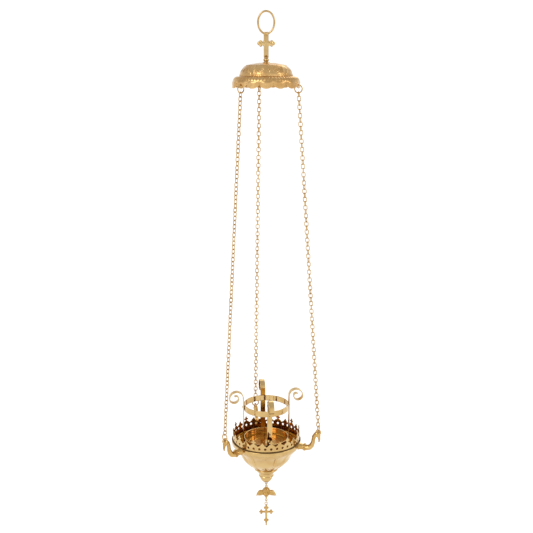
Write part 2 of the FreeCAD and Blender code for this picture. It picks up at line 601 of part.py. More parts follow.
def make_straps():
    thick = value("$strap_sheet")
    middle = value("$band_rad") + thick / 2
    foot_level = value(FOOT_TOP) - thick / 2
    bend = value("$strap_bend")
    rise = value(RIM + " + $scroll_rise") - foot_level - bend
    moves = [(middle - bend - value("$strap_foot_in"),), (bend, 90), (rise,), (value("$scroll_big"), -180),
             (value("$scroll_mid"), -180), (value("$scroll_small"), -120)]
    width = value("$strap_width")
    face = ribbon((value("$strap_foot_in"), 0, foot_level), 0, moves, thick)
    face.translate(FreeCAD.Vector(0, -width / 2, 0))
    strap = face.extrude(FreeCAD.Vector(0, width, 0))
    hole_rad = value("$rivet_rad + $fit")
    for level in rivet_levels():
        spot = FreeCAD.Vector(middle - thick, 0, value(level))
        strap = strap.cut(Part.makeCylinder(hole_rad, 2 * thick, spot, FreeCAD.Vector(1, 0, 0)))
    strap = strap.cut(Part.makeCylinder(hole_rad, 4 * thick, FreeCAD.Vector(
        value("$seat_rivet_reach"), 0, foot_level - 2 * thick), FreeCAD.Vector(0, 0, 1)))
    for number in range(4):
        shaped("holder_strap_%d" % (number + 1), strap.copy(), FreeCAD.Placement(
            FreeCAD.Vector(), turned_by(value("$strap_turn") - 90 + 90 * number)))


def rivet_levels():
    return ["%s + %s + $band_height / 2" % (RIM, rise) for rise in ("$upper_band_rise", "$lower_band_rise")]


def rivet(shank_length):
    """A rivet along +X: the shank starts at the origin and ends under a domed head."""
    shank = Part.makeCylinder(value("$rivet_rad"), shank_length, FreeCAD.Vector(), FreeCAD.Vector(1, 0, 0))
    head_rad, height = value("$rivet_head"), value("$rivet_head_height")
    dome_rad = (head_rad ** 2 + height ** 2) / (2 * height)
    dome = Part.makeSphere(dome_rad, FreeCAD.Vector(shank_length + height - dome_rad, 0, 0))
    cap = dome.common(Part.makeBox(height, 4 * head_rad, 4 * head_rad,
                                   FreeCAD.Vector(shank_length, -2 * head_rad, -2 * head_rad)))
    return shank.fuse(cap)


def make_rivets():
    side_rivet = rivet(value("$band_sheet + $strap_sheet"))
    side_rivets = []
    inner = value("$band_rad - $band_sheet")
    for number in range(4):
        for level in rivet_levels():
            copy = side_rivet.copy()
            copy.translate(FreeCAD.Vector(inner, 0, value(level)))
            copy.rotate(FreeCAD.Vector(), FreeCAD.Vector(0, 0, 1), value("$strap_turn") - 90 + 90 * number)
            side_rivets.append(copy)
    shaped("holder_rivets", Part.makeCompound(side_rivets))
    foot_rivet = rivet(value("$seat_sheet + $strap_sheet"))
    foot_rivet.rotate(FreeCAD.Vector(), FreeCAD.Vector(0, 1, 0), 90)
    foot_rivets = []
    for number in range(4):
        copy = foot_rivet.copy()
        copy.translate(FreeCAD.Vector(value("$seat_rivet_reach"), 0, value(SEAT_TOP)))
        copy.rotate(FreeCAD.Vector(), FreeCAD.Vector(0, 0, 1), value("$strap_turn") - 90 + 90 * number)
        foot_rivets.append(copy)
    shaped("seat_rivets", Part.makeCompound(foot_rivets))


def make_seat():
    edge = "($band_rad - $seat_inset)"
    seat = turned("seat_plate", [
        ("$rod_rad + $fit", "-$seat_sheet"), ("$rod_head_rad + $fit", "0"), (edge, "0"),
        (edge, "-$seat_sheet")], SEAT_TOP, value("$strap_turn"))
    hole = seat.newObject("Sketcher::SketchObject", "rivet_hole_outline")
    hole.AttachmentSupport = [(origin_plane(seat, "XY_Plane"), "")]
    hole.MapMode = "FlatFace"
    hole.addGeometry(Part.Circle(FreeCAD.Vector(value("$seat_rivet_reach"), 0, 0), FreeCAD.Vector(0, 0, 1),
                                 value("$rivet_rad + $fit")), False)
    hole.addConstraint(Sketcher.Constraint("PointOnObject", 0, 3, -1))
    hole.addConstraint(Sketcher.Constraint("DistanceX", -1, 1, 0, 3, value("$seat_rivet_reach")))
    hole.setExpression("Constraints[1]", rule("$seat_rivet_reach"))
    hole.addConstraint(Sketcher.Constraint("Radius", 0, value("$rivet_rad + $fit")))
    hole.setExpression("Constraints[2]", rule("$rivet_rad + $fit"))
    pocket = seat.newObject("PartDesign::Pocket", "rivet_hole")
    pocket.Profile = hole
    pocket.Type = 1
    pocket.Midplane = True
    pattern = seat.newObject("PartDesign::PolarPattern", "rivet_holes")
    pattern.Originals = [pocket]
    pattern.Axis = (hole, ["N_Axis"])
    pattern.Angle = 360
    pattern.Occurrences = 4
    seat.Tip = pattern


def make_centre_fixing():
    rod_length = "(%s - %s + $cup_thread)" % (SEAT_TOP, BOWL_FOOT)
    turned("centre_rod", [
        ("0", "0"), ("$rod_head_rad", "0"), ("$rod_rad", "-$rod_head_height"), ("$rod_rad", "-" + rod_length),
        ("0", "-" + rod_length)], SEAT_TOP)
    floor_level = "(" + BOWL_FOOT + " + $bowl_sheet)"
    spacer = tube("$spacer_rad", "$rod_rad + $fit", "%s - %s" % (FOOT_TOP, floor_level), {"z": floor_level})
    node(spacer, "centre_spacer")


def make_cup():
    bore = "($rod_rad + $fit)"
    turned("lower_cup", [
        (bore, "0"), ("$cup_rad - 1.4", "0", -0.3), ("$cup_rad", "-$cup_lip / 2", -0.3),
        ("$cup_rad - 0.6", "-$cup_lip", 0.15), ("$cup_waist + 1.2", "-$cup_lip - 5", 0.1),
        ("$cup_waist", "-0.55 * $cup_height", -0.9), ("$cup_waist", "-0.64 * $cup_height", -0.12),
        ("$cup_tip", "-$cup_height"), ("0", "-$cup_height"), ("0", "-$cup_thread - $fit"),
        (bore, "-$cup_thread - $fit")], BOWL_FOOT)


def loop(axis, level):
    """A small cast eye whose hole points along an axis."""
    return primitive("Torus", AXES[axis], {"z": level}, Radius1="$loop_hole + $loop_bar / 2",
                     Radius2="$loop_bar / 2")


def make_cup_eye():
    button = rod("$button_rad", "$button_height", "z", {"z": CUP_FOOT + " - $button_height"})
    stem = rod("$loop_bar * 0.8", "0.8 * $loop_bar", "z", {
        "z": CUP_FOOT + " - $button_height - 0.6 * $loop_bar"})
    node(fuse([button, stem, loop("y", CUP_LOOP)]), "cup_eye")


def small_ring(label, axis, mean, top):
    made = primitive("Torus", AXES[axis], {"z": "%s - %s" % (top, mean)}, Radius1=mean,
                     Radius2="$small_wire / 2")
    node(made, label)


def make_cherub():
    head_centre = "(" + CHERUB_LOOP + " - $cherub_head_drop)"
    head = primitive("Ellipsoid", None, {"z": head_centre}, Radius1="$cherub_head_height / 2",
                     Radius2="$cherub_head_width / 2", Radius3="$cherub_depth / 2")
    stub_top = "(" + head_centre + " - 0.48 * $cherub_head_height)"
    stub_foot = "(" + CHERUB_FOOT_LOOP + " + $loop_hole)"
    stub = rod("$stub_rad", "%s - %s" % (stub_top, stub_foot), "z", {"z": stub_foot})
    half = value("$wing_span / 2")
    rise = value("$cherub_head_height / 2")
    thick = value("$wing_sheet")
    level = value(head_centre)
    outline = [(0.18, -0.5), (0.18, 0.3), (0.42, 0.6), (0.64, 0.56), (0.86, 0.1), (1.0, -0.66), (0.78, -0.4),
               (0.5, -0.62)]
    wings = []
    for side in (-1, 1):
        corners = [FreeCAD.Vector(side * half * across, -thick / 2, level + rise * up)
                   for across, up in outline]
        wing = doc.addObject("Part::Feature", "wing")
        wing.Shape = Part.Face(Part.makePolygon(corners + corners[:1])).extrude(FreeCAD.Vector(0, thick, 0))
        wings.append(wing)
    top_stub = rod("$stub_rad", "$cherub_head_drop - 0.48 * $cherub_head_height - $loop_hole", "z", {
        "z": head_centre + " + 0.48 * $cherub_head_height"})
    node(fuse([head, stub, top_stub, loop("y", CHERUB_LOOP), loop("y", CHERUB_FOOT_LOOP)] + wings),
         "cherub_pendant")


def make_small_cross():
    bar, depth, bud = "$small_cross_bar", "$small_cross_depth", "$small_bud"
    level = CROSS_LOOP
    top = "(%s - $loop_hole - 0.4 * $loop_bar)" % level
    foot = "(%s - $small_cross_length + 2 * $small_bud)" % level
    shaft = block(bar, depth, "%s - %s" % (top, foot), {
        "x": "-$small_cross_bar / 2", "y": "-$small_cross_depth / 2", "z": foot})
    half_arm = "($small_cross_span / 2 - 2 * $small_bud)"
    arms = block("2 * " + half_arm, depth, bar, {
        "x": "-" + half_arm, "y": "-$small_cross_depth / 2",
        "z": "%s - $small_cross_arm_drop - $small_cross_bar / 2" % level})
    pieces = [shaft, arms, loop("x", level)]
    for side in (-1, 1):
        arm_level = "%s - $small_cross_arm_drop" % level
        pieces += budded_end("%d * %s" % (side, half_arm), arm_level, (side, 0), bud, depth)
        for drop in ("$small_cross_top", "$small_cross_base_drop"):
            pieces.append(rod(bud, depth, "y", {
                "x": "%d * 1.3 * $small_bud" % side, "y": "-$small_cross_depth / 2",
                "z": "%s - %s" % (level, drop)}))
    tip = primitive("Cone", None, {"z": "%s - $small_cross_length" % level}, Radius1="0.5",
                    Radius2="$small_cross_depth / 2", Height="2 * $small_bud")
    node(fuse(pieces + [tip]), "cross_pendant")


def make_pendants():
    make_cup_eye()
    small_ring("pendant_ring_1", "x", "$ring_a_mean", RING_A_TOP)
    make_cherub()
    small_ring("pendant_ring_2", "x", "$ring_bc_mean", RING_B_TOP)
    small_ring("pendant_ring_3", "y", "$ring_bc_mean", RING_C_TOP)
    make_small_cross()


def main():
    for make in (make_suspension_ring, make_top_cross, make_knob, make_canopy_fixing, make_canopy,
                 make_chains, make_brackets, make_bowl, make_rim_bead, make_crown, make_bands, make_straps,
                 make_rivets, make_seat, make_centre_fixing, make_cup, make_pendants):
        make()
    doc.recompute()
    for item in doc.Objects:
        if {"Invalid", "Error"} & set(item.State):
            raise RuntimeError("%s failed: %s" % (item.Label, item.State))
    for item in NODES:
        if item.Shape.isNull() or not item.Shape.isValid():
            raise RuntimeError("%s has no valid shape" % item.Label)
    os.makedirs("parts", exist_ok=True)
    for item in NODES:
        item.Shape.exportStep(os.path.join("parts", item.Label + ".step"))
        box = item.Shape.optimalBoundingBox()
        print("%-22s solids %3d volume %9.1f  z %8.2f %8.2f  x %7.2f %7.2f" % (
            item.Label, len(item.Shape.Solids), item.Shape.Volume, box.ZMin, box.ZMax, box.XMin, box.XMax))


main()
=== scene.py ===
import json
import math
import bmesh
import bpy
import numpy as np
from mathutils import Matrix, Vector


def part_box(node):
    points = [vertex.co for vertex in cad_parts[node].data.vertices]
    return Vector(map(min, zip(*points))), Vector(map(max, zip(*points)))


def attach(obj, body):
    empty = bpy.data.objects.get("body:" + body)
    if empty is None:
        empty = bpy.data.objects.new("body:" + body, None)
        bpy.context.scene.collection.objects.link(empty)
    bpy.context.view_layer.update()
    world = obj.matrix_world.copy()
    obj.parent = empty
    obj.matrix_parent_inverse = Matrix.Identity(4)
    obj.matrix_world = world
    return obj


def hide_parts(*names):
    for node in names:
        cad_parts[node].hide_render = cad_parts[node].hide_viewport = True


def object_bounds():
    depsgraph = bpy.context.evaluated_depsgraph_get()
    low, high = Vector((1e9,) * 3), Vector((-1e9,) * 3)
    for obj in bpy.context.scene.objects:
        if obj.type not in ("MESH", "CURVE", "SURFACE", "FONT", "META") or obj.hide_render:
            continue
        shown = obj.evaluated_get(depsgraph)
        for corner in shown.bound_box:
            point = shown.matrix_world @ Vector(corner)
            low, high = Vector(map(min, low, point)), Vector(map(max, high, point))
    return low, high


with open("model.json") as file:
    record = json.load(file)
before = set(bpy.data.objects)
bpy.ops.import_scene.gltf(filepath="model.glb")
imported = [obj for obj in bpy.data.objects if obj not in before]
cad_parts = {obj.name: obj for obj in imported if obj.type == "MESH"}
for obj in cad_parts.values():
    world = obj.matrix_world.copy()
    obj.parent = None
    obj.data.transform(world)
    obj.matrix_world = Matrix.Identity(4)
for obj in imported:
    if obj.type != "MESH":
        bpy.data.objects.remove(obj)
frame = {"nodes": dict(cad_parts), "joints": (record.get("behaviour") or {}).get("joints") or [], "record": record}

cad_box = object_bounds()

# Shapes are worked out in millimetres and degrees, and become metres in add_piece.
MM = 0.001

# Camera and floor, in metres and degrees: level with the canopy and looking a little down
CAMERA_PLACE = (0.0004, -1.0807, -0.0753)
CAMERA_PITCH = -12.82
CAMERA_LENS = 57.0
FLOOR_DROP = 0.35
FLOOR_SIZE = 90.0


# ---------------------------------------------------------------- the frame

def span(node):
    """Lowest and highest corner of a CAD node, in millimetres."""
    low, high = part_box(node)
    return np.array(low) / MM, np.array(high) / MM


RIM = span("bowl")[1][2]
RIM_RAD = span("bowl")[1][0]
BOWL_FOOT = span("bowl")[0][2]
CANOPY_TOP = span("canopy")[1][2]
SKIRT_EDGE = span("canopy")[0][2]
CANOPY_SHEET = 1.2
CHAIN_HOLE_RAD = 1.2
CHAIN_JOINTS = [joint for joint in frame["joints"] if joint["name"].startswith("chain_")]
CHAIN_ANGLES = [math.degrees(math.atan2(joint["pos_m"][1], joint["pos_m"][0])) for joint in CHAIN_JOINTS]


# ---------------------------------------------------------------- materials

def brass(name, light, deep, roughness, bump):
    """Gold-plated brass: two close tints in clouds, polishing lines, dull smears and a light orange peel."""
    material = bpy.data.materials.new(name)
    material.use_nodes = True
    nodes, link = material.node_tree.nodes, material.node_tree.links.new
    shader = nodes["Principled BSDF"]
    shader.inputs["Metallic"].default_value = 1.0
    place = nodes.new("ShaderNodeTexCoord").outputs["Object"]

    def noise(scale, detail, stretch=(1.0, 1.0, 1.0)):
        shift = nodes.new("ShaderNodeMapping")
        shift.inputs["Scale"].default_value = stretch
        link(place, shift.inputs["Vector"])
        texture = nodes.new("ShaderNodeTexNoise")
        texture.inputs["Scale"].default_value = scale
        texture.inputs["Detail"].default_value = detail
        link(shift.outputs["Vector"], texture.inputs["Vector"])
        return texture.outputs["Fac"]

    def ranged(value, low, high, start, end):
        change = nodes.new("ShaderNodeMapRange")
        for socket, number in (("From Min", low), ("From Max", high), ("To Min", start), ("To Max", end)):
            change.inputs[socket].default_value = number
        link(value, change.inputs["Value"])
        return change.outputs["Result"]

    tint = nodes.new("ShaderNodeMix")
    tint.data_type = "RGBA"
    tint.inputs["A"].default_value = (*light, 1.0)
    tint.inputs["B"].default_value = (*deep, 1.0)
    link(ranged(noise(60.0, 5.0), 0.40, 0.66, 0.0, 1.0), tint.inputs["Factor"])
    link(tint.outputs["Result"], shader.inputs["Base Color"])

    smears = noise(170.0, 7.0, (1.0, 1.0, 0.5))
    link(ranged(smears, 0.32, 0.72, roughness * 0.6, roughness * 1.6), shader.inputs["Roughness"])

    peel = nodes.new("ShaderNodeBump")
    peel.inputs["Strength"].default_value = bump
    peel.inputs["Distance"].default_value = 0.0003
    link(noise(500.0, 3.0), peel.inputs["Height"])
    lines = nodes.new("ShaderNodeBump")
    lines.inputs["Strength"].default_value = bump * 0.6
    lines.inputs["Distance"].default_value = 0.0001
    link(noise(260.0, 6.0, (0.6, 0.6, 9.0)), lines.inputs["Height"])
    link(peel.outputs["Normal"], lines.inputs["Normal"])
    link(lines.outputs["Normal"], shader.inputs["Normal"])
    return material


POLISHED = brass("polished_gold_brass", (0.64, 0.45, 0.20), (0.55, 0.35, 0.13), 0.09, 0.06)
# painted shade: a darker, redder brass for inside faces, standing in for the dim reflections between the walls
PAINTED_INSIDE_SHADE = brass("painted_inside_shade_brass", (0.54, 0.27, 0.035), (0.40, 0.17, 0.015), 0.16, 0.10)
SATIN = brass("satin_gold_brass", (0.68, 0.44, 0.19), (0.54, 0.31, 0.11), 0.25, 0.25)
CAST = brass("cast_gold_brass", (0.62, 0.41, 0.16), (0.46, 0.26, 0.07), 0.16, 0.35)
WIRE = brass("drawn_gold_wire", (0.62, 0.43, 0.20), (0.50, 0.31, 0.11), 0.13, 0.10)
# painted shade: a near-black brass for the thin dark line under the crown, standing in for the shadow gap between
# bowl rim and crown
PAINTED_GAP_SHADE = brass("painted_gap_shade_brass", (0.16, 0.09, 0.03), (0.07, 0.04, 0.015), 0.35, 0.3)
SLOT_MATERIALS = {"polished_brass": POLISHED, "satin_brass": SATIN, "dark_brass": PAINTED_GAP_SHADE}


# ---------------------------------------------------------------- mesh tools

def add_piece(name, points, faces, material, body, covers=(), slot="polished_brass"):
    """A closed mesh from points in millimetres, riding on a body in place of the CAD nodes it covers."""
    mesh = bpy.data.meshes.new(name)
    mesh.from_pydata((np.asarray(points) * MM).tolist(), [], [tuple(face) for face in faces])
    work = bmesh.new()
    work.from_mesh(mesh)
    bmesh.ops.remove_doubles(work, verts=work.verts, dist=2e-6)
    bmesh.ops.recalc_face_normals(work, faces=work.faces)
    work.to_mesh(mesh)
    work.free()
    mesh.shade_smooth()
    mesh.materials.append(material)
    piece = bpy.data.objects.new(name, mesh)
    bpy.context.scene.collection.objects.link(piece)
    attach(piece, body)
    if covers:
        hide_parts(*covers)
    return piece


def paint_inside_shade(piece, top):
    """Painted shade on the inside: a darker amber material on faces below a level in mm that look towards the
    upright axis, standing in for the dim reflections between the walls.
    """
    mesh = piece.data
    mesh.materials.append(PAINTED_INSIDE_SHADE)
    middles, normals = np.empty(3 * len(mesh.polygons)), np.empty(3 * len(mesh.polygons))
    mesh.polygons.foreach_get("center", middles)
    mesh.polygons.foreach_get("normal", normals)
    middles, normals = middles.reshape(-1, 3), normals.reshape(-1, 3)
    outward = (middles[:, :2] * normals[:, :2]).sum(axis=1) / np.hypot(middles[:, 0], middles[:, 1])
    inside = (outward < -0.1) & (middles[:, 2] < top * MM)
    mesh.polygons.foreach_set("material_index", inside.astype(np.int32))


def grid_faces(rows, columns, wrap_rows=False, wrap_columns=False):
    """Quads of a grid of points numbered row by row."""
    index = np.arange(rows * columns).reshape(rows, columns)
    right = np.roll(index, -1, axis=1)
    above = np.roll(index, -1, axis=0)
    corner = np.roll(right, -1, axis=0)
    quads = np.stack([index, right, corner, above], axis=-1)
    return quads[:rows if wrap_rows else -1, :columns if wrap_columns else -1].reshape(-1, 4).tolist()


def joined(parts):
    """One list of points and one of faces from several (points, faces) pairs."""
    points, faces, count = [], [], 0
    for part_points, part_faces in parts:
        points.append(np.asarray(part_points))
        faces += [[index + count for index in face] for face in part_faces]
        count += len(part_points)
    return np.concatenate(points), faces


def turn(points, angle, axis="z"):
    """Points turned by an angle in degrees about an axis through the origin."""
    c, s = math.cos(math.radians(angle)), math.sin(math.radians(angle))
    turns = {"z": [[c, -s, 0], [s, c, 0], [0, 0, 1]], "x": [[1, 0, 0], [0, c, -s], [0, s, c]],
             "y": [[c, 0, s], [0, 1, 0], [-s, 0, c]]}
    return np.asarray(points) @ np.array(turns[axis]).T


def arc(start, end, bulge, step):
    """Points from start up to, not including, end, on an arc whose height is bulge times half the chord."""
    start, end = np.array(start, float), np.array(end, float)
    chord = end - start
    length = np.linalg.norm(chord)
    count = max(1, int(math.ceil(length / step)))
    share = np.arange(count)[:, None] / count
    if abs(bulge) < 1e-6:
        return start + chord * share
    sweep = 4 * math.atan(bulge)
    radius = length / 2 / math.sin(sweep / 2)
    side = np.array([-chord[1], chord[0]]) / length
    centre = (start + end) / 2 + side * radius * math.cos(sweep / 2)
    turned = -sweep * share[:, 0]
    spoke = start - centre
    c, s = np.cos(-turned), np.sin(-turned)
    return centre + np.stack([spoke[0] * c - spoke[1] * s, spoke[0] * s + spoke[1] * c], axis=1)


def outline_points(outline, step=0.7, fillet=0.22, closed=True):
    """Points along an outline of (across, up[, bulge]) corners, with every corner rounded."""
    sides = []
    count = len(outline)
    for index, corner in enumerate(outline if closed else outline[:-1]):
        following = outline[(index + 1) % count]
        sides.append(arc(corner[:2], following[:2], corner[2] if len(corner) > 2 else 0.0, step))
    if not closed:
        sides.append(np.array([outline[-1][:2]], float))
    points = []
    for index, side in enumerate(sides):
        corner = side[0]
        if not closed and index in (0, count - 1):
            points += list(side)
            continue
        before = sides[index - 1][-1] - corner
        after = (side[1] if len(side) > 1 else sides[(index + 1) % len(sides)][0]) - corner
        reach_back = min(fillet, 0.45 * np.linalg.norm(before))
        reach_on = min(fillet, 0.45 * np.linalg.norm(after))
        first = corner + before / max(np.linalg.norm(before), 1e-9) * reach_back
        last = corner + after / max(np.linalg.norm(after), 1e-9) * reach_on
        for share in (0.0, 0.33, 0.67, 1.0):
            points.append(first * (1 - share) ** 2 + 2 * corner * share * (1 - share) + last * share ** 2)
        points += list(side[1:])
    return np.array(points)


def lathe(outline, level=0.0, columns=128, step=0.7, fillet=0.22):
    """A solid of revolution about Z; outline is closed, in (radius, height[, bulge]) corners."""
    ring = outline_points(outline, step, fillet)
    angles = np.linspace(0, 2 * math.pi, columns, endpoint=False)
    radius = np.maximum(ring[:, 0], 0.0)
    points = np.stack([radius[:, None] * np.cos(angles), radius[:, None] * np.sin(angles),
                       np.repeat(ring[:, 1:2] + level, columns, axis=1)], axis=-1).reshape(-1, 3)
    return points, grid_faces(len(ring), columns, True, True)


def rod_along(path, radius, sides=16, closed=False, flat=1.0, upright=(0.0, 1.0, 0.0)):
    """A round or flattened rod along a path; radius is one number or one for each point of the path."""
    path = np.asarray(path, float)
    ahead = np.roll(path, -1, axis=0) - np.roll(path, 1, axis=0)
    if not closed:
        ahead[0], ahead[-1] = path[1] - path[0], path[-1] - path[-2]
    ahead /= np.linalg.norm(ahead, axis=1)[:, None]
    side = np.cross(ahead, np.asarray(upright, float))
    side /= np.linalg.norm(side, axis=1)[:, None]
    rise = np.cross(side, ahead)
    radius = np.broadcast_to(np.asarray(radius, float), (len(path),))
    angles = np.linspace(0, 2 * math.pi, sides, endpoint=False)
    ring = side[:, None] * np.cos(angles)[None, :, None] * flat
    ring = ring + rise[:, None] * np.sin(angles)[None, :, None]
    points = (path[:, None] + ring * radius[:, None, None]).reshape(-1, 3)
    faces = grid_faces(len(path), sides, closed, True)
    if not closed:
        faces += [list(range(sides))[::-1], [len(path) * sides - sides + index for index in range(sides)]]
    return points, faces


def ball(centre, radii, rows=20, columns=28):
    """An ellipsoid."""
    down = np.linspace(0, math.pi, rows)
    around = np.linspace(0, 2 * math.pi, columns, endpoint=False)
    radii = np.broadcast_to(np.asarray(radii, float), (3,))
    points = np.stack([np.sin(down)[:, None] * np.cos(around), np.sin(down)[:, None] * np.sin(around),
                       np.repeat(np.cos(down)[:, None], columns, axis=1)], axis=-1).reshape(-1, 3)
    return points * radii + np.asarray(centre, float), grid_faces(rows, columns, False, True)


def ring_path(radius, axis, centre, count=48):
    """A round path whose axis is x or y."""
    angle = np.linspace(0, 2 * math.pi, count, endpoint=False)
    across = radius * np.cos(angle)
    up = radius * np.sin(angle)
    none = np.zeros(count)
    flat = np.stack([across, none, up] if axis == "y" else [none, across, up], axis=1)
    return flat + np.asarray(centre, float)


# A flat pattern is drawn with distances: each is below zero inside its shape.

def disc(u, v, across, up, radius):
    return np.hypot(u - across, v - up) - radius


def bar(u, v, start, end, half):
    """A round-ended bar."""
    start, end = np.array(start, float), np.array(end, float)
    way = end - start
    share = np.clip(((u - start[0]) * way[0] + (v - start[1]) * way[1]) / (way @ way), 0, 1)
    return np.hypot(u - start[0] - share * way[0], v - start[1] - share * way[1]) - half


def box(u, v, left, right, low, high):
    across = np.abs(u - (left + right) / 2) - (right - left) / 2
    up = np.abs(v - (low + high) / 2) - (high - low) / 2
    return np.hypot(np.maximum(across, 0), np.maximum(up, 0)) + np.minimum(np.maximum(across, up), 0)


def hump(distance, reach):
    """A smooth rise that is 1 at distance 0 and 0 at reach."""
    return np.clip(1 - (distance / reach) ** 2, 0, 1) ** 2


def cut_grid(across, up, cell, outline, wrap=False):
    """Points and quads of a flat pattern where outline(u, v) is below zero, its edge on the outline."""
    rows = max(2, round((up[1] - up[0]) / cell[1])) + 1
    columns = max(2, round((across[1] - across[0]) / cell[0])) + (0 if wrap else 1)
    u, v = np.meshgrid(np.linspace(*across, columns, endpoint=not wrap), np.linspace(*up, rows))
    u, v = u.ravel(), v.ravel()
    faces = np.array(grid_faces(rows, columns, False, wrap))
    faces = faces[outline(u, v)[faces].mean(axis=1) < 0]
    used, faces = np.unique(faces, return_inverse=True)
    faces = faces.reshape(-1, 4)
    u, v = u[used], v[used]
    edge = np.unique(open_edges(faces, len(u)))
    small = 0.05 * min(cell)
    for _ in range(4):
        here = outline(u[edge], v[edge])
        slope_u = (outline(u[edge] + small, v[edge]) - outline(u[edge] - small, v[edge])) / (2 * small)
        slope_v = (outline(u[edge], v[edge] + small) - outline(u[edge], v[edge] - small)) / (2 * small)
        share = here / np.maximum(slope_u ** 2 + slope_v ** 2, 0.25)
        u[edge] -= np.clip(share * slope_u, -cell[0], cell[0])
        v[edge] -= np.clip(share * slope_v, -cell[1], cell[1])
    return u, v, faces


def open_edges(faces, count):
    """The edges, as pairs of point numbers in the face's direction, that only one face has."""
    start = faces.ravel()
    end = np.roll(faces, -1, axis=1).ravel()
    lonely = ~np.isin(start * count + end, end * count + start)
    return np.stack([start[lonely], end[lonely]], axis=1)


def plate(u, v, faces, place, half):
    """A closed sheet about the surface place(u, v), half thick on each side."""
    small = 1e-3
    along = place(u + small, v) - place(u - small, v)
    up = place(u, v + small) - place(u, v - small)
    normal = np.cross(along, up)
    normal /= np.maximum(np.linalg.norm(normal, axis=1), 1e-12)[:, None]
    middle = place(u, v)
    half = np.asarray(half)[:, None]
    count = len(u)
    walls = [[b, a, a + count, b + count] for a, b in open_edges(faces, count)]
    skins = faces.tolist() + (faces[:, ::-1] + count).tolist()
    return np.concatenate([middle + normal * half, middle - normal * half]), skins + walls


def upright_plane(u, v):
    """The flat surface of a piece that stands in the XZ plane."""
    return np.stack([u, 0 * u, v], axis=1)


def distances(line):
    """How far along a line each of its points is."""
    return np.concatenate([[0], np.cumsum(np.linalg.norm(np.diff(line, axis=0), axis=1))])


def nearest_step(line, steps, place):
    """How far along a line its point nearest to a place is."""
    return steps[np.argmin(np.hypot(line[:, 0] - place[0], line[:, 1] - place[1]))]


def spun_surface(line, steps, v, lift, angle, base, reach):
    """Points of a spun sheet: v along its (radius, height) line, raised off it by lift, at an angle."""
    radius = np.interp(v, steps, line[:, 0])
    level = np.interp(v, steps, line[:, 1])
    slope_r = np.interp(v + reach, steps, line[:, 0]) - np.interp(v - reach, steps, line[:, 0])
    slope_z = np.interp(v + reach, steps, line[:, 1]) - np.interp(v - reach, steps, line[:, 1])
    size = np.maximum(np.hypot(slope_r, slope_z), 1e-9)
    radius = radius - slope_z / size * lift
    level = base + level + slope_r / size * lift
    return np.stack([radius * np.cos(angle), radius * np.sin(angle), level], axis=1)


def rounded_half(outline, u, v, thick, edge):
    """Half the sheet's thickness, drawn in to a rounded edge."""
    depth = np.clip(-outline(u, v) / edge, 0, 1)
    return thick / 2 * (0.45 + 0.55 * np.sqrt(1 - (1 - depth) ** 2))


# ---------------------------------------------------------------- ring, cross and knob

RING_WIRE_GROWTH = 1.18


def make_suspension_ring():
    """An oval of wire, closed at the bottom by a joint that is a little thinner."""
    low, high = span("suspension_ring")
    wire = RING_WIRE_GROWTH * (high[1] - low[1])
    half_width = (high[0] - low[0] - wire) / 2
    half_height = (high[2] - low[2] - wire) / 2
    centre = (high[2] + low[2]) / 2
    angle = np.linspace(0, 2 * math.pi, 160, endpoint=False)
    path = np.stack([half_width * np.sin(angle), 0 * angle, centre - half_height * np.cos(angle)], axis=1)
    gap = hump(np.minimum(angle, 2 * math.pi - angle), 0.05)
    add_piece("suspension_ring_wire", *rod_along(path, wire / 2 * (1 - 0.16 * gap), 20, True), WIRE,
              "suspension_ring", ["suspension_ring"])


def make_top_cross():
    """A ridged cross with three round buds at each arm's end, and the eye for the ring at its top."""
    low, high = span("top_cross")
    top, foot = high[2], low[2]
    arm_level = foot + 16.5
    half_span = high[0]
    shaft, arm, bud, thick = 3.0, 2.3, 2.3, 3.2

    def outline(u, v):
        x, y = np.abs(u), v - arm_level
        upright = box(u, v, -shaft, shaft, foot, top - 3.0)
        arms = box(u, y, 2 * bud - half_span, half_span - 2 * bud, -arm, arm)
        flare = box(x, y, 0, shaft + 1.1, -arm - 1.0, arm + 1.0)
        collar = box(x, y, half_span - 5.9, half_span - 4.9, -arm - 0.7, arm + 0.7)
        end_bud = disc(x, y, half_span - bud, 0, bud)
        side_bud = disc(x, np.abs(y), half_span - 2 * bud + 0.2, 2.3, 1.75)
        return np.minimum.reduce([upright, arms, end_bud, side_bud, flare, collar])

    across, up = (-half_span - 0.5, half_span + 0.5), (foot - 0.5, top)
    u, v, faces = cut_grid(across, up, (0.22, 0.22), outline)
    depth = np.clip(-outline(u, v), 0, None)
    ridge = 0.40 + 0.75 * np.clip(depth / 3.0, 0, 1)
    rounds = 0.40 + 0.78 * np.sqrt(1 - (1 - np.clip(depth / 2.0, 0, 1)) ** 2)
    at_buds = np.clip((np.abs(u) - (half_span - 2 * bud - 1.2)) / 0.8, 0, 1)
    half = thick / 2 * (ridge * (1 - at_buds) + rounds * at_buds)
    cross = plate(u, v, faces, upright_plane, half)
    hole, outer, width = 1.7, 3.3, 2.1
    section = [(hole, -width, 0.3), (hole, width), (outer - 0.5, width, 0.35), (outer - 0.5, -width)]
    eye = lathe(section, columns=48)
    eye_points = turn(eye[0], 90, "y") + np.array([0, 0, top - outer])
    add_piece("budded_cross", *joined([cross, (eye_points, eye[1])]), POLISHED, "canopy", ["top_cross"])


def make_knob():
    """A turned ball on a spreading foot, with the stud that goes through the canopy."""
    low, high = span("cross_knob")
    height = high[2] - CANOPY_TOP
    stud = CANOPY_TOP - low[2]
    outline = [(0.02, height), (3.2, height), (3.2, height - 0.5, 0.2), (2.3, height - 1.0),
               (2.3, height - 1.4, -0.75), (2.3, 1.9), (2.9, 1.6, 0.3), (4.6, 0.5, -0.4),
               (4.6, 0.0), (2.0, 0.0), (2.0, -stud), (0.02, -stud)]
    add_piece("turned_knob", *lathe(outline, CANOPY_TOP, 72, 0.35), POLISHED, "canopy", ["cross_knob"])


# ---------------------------------------------------------------- canopy

PANELS = 5
SCALLOPS = 15
PANEL_TURN = -83.0


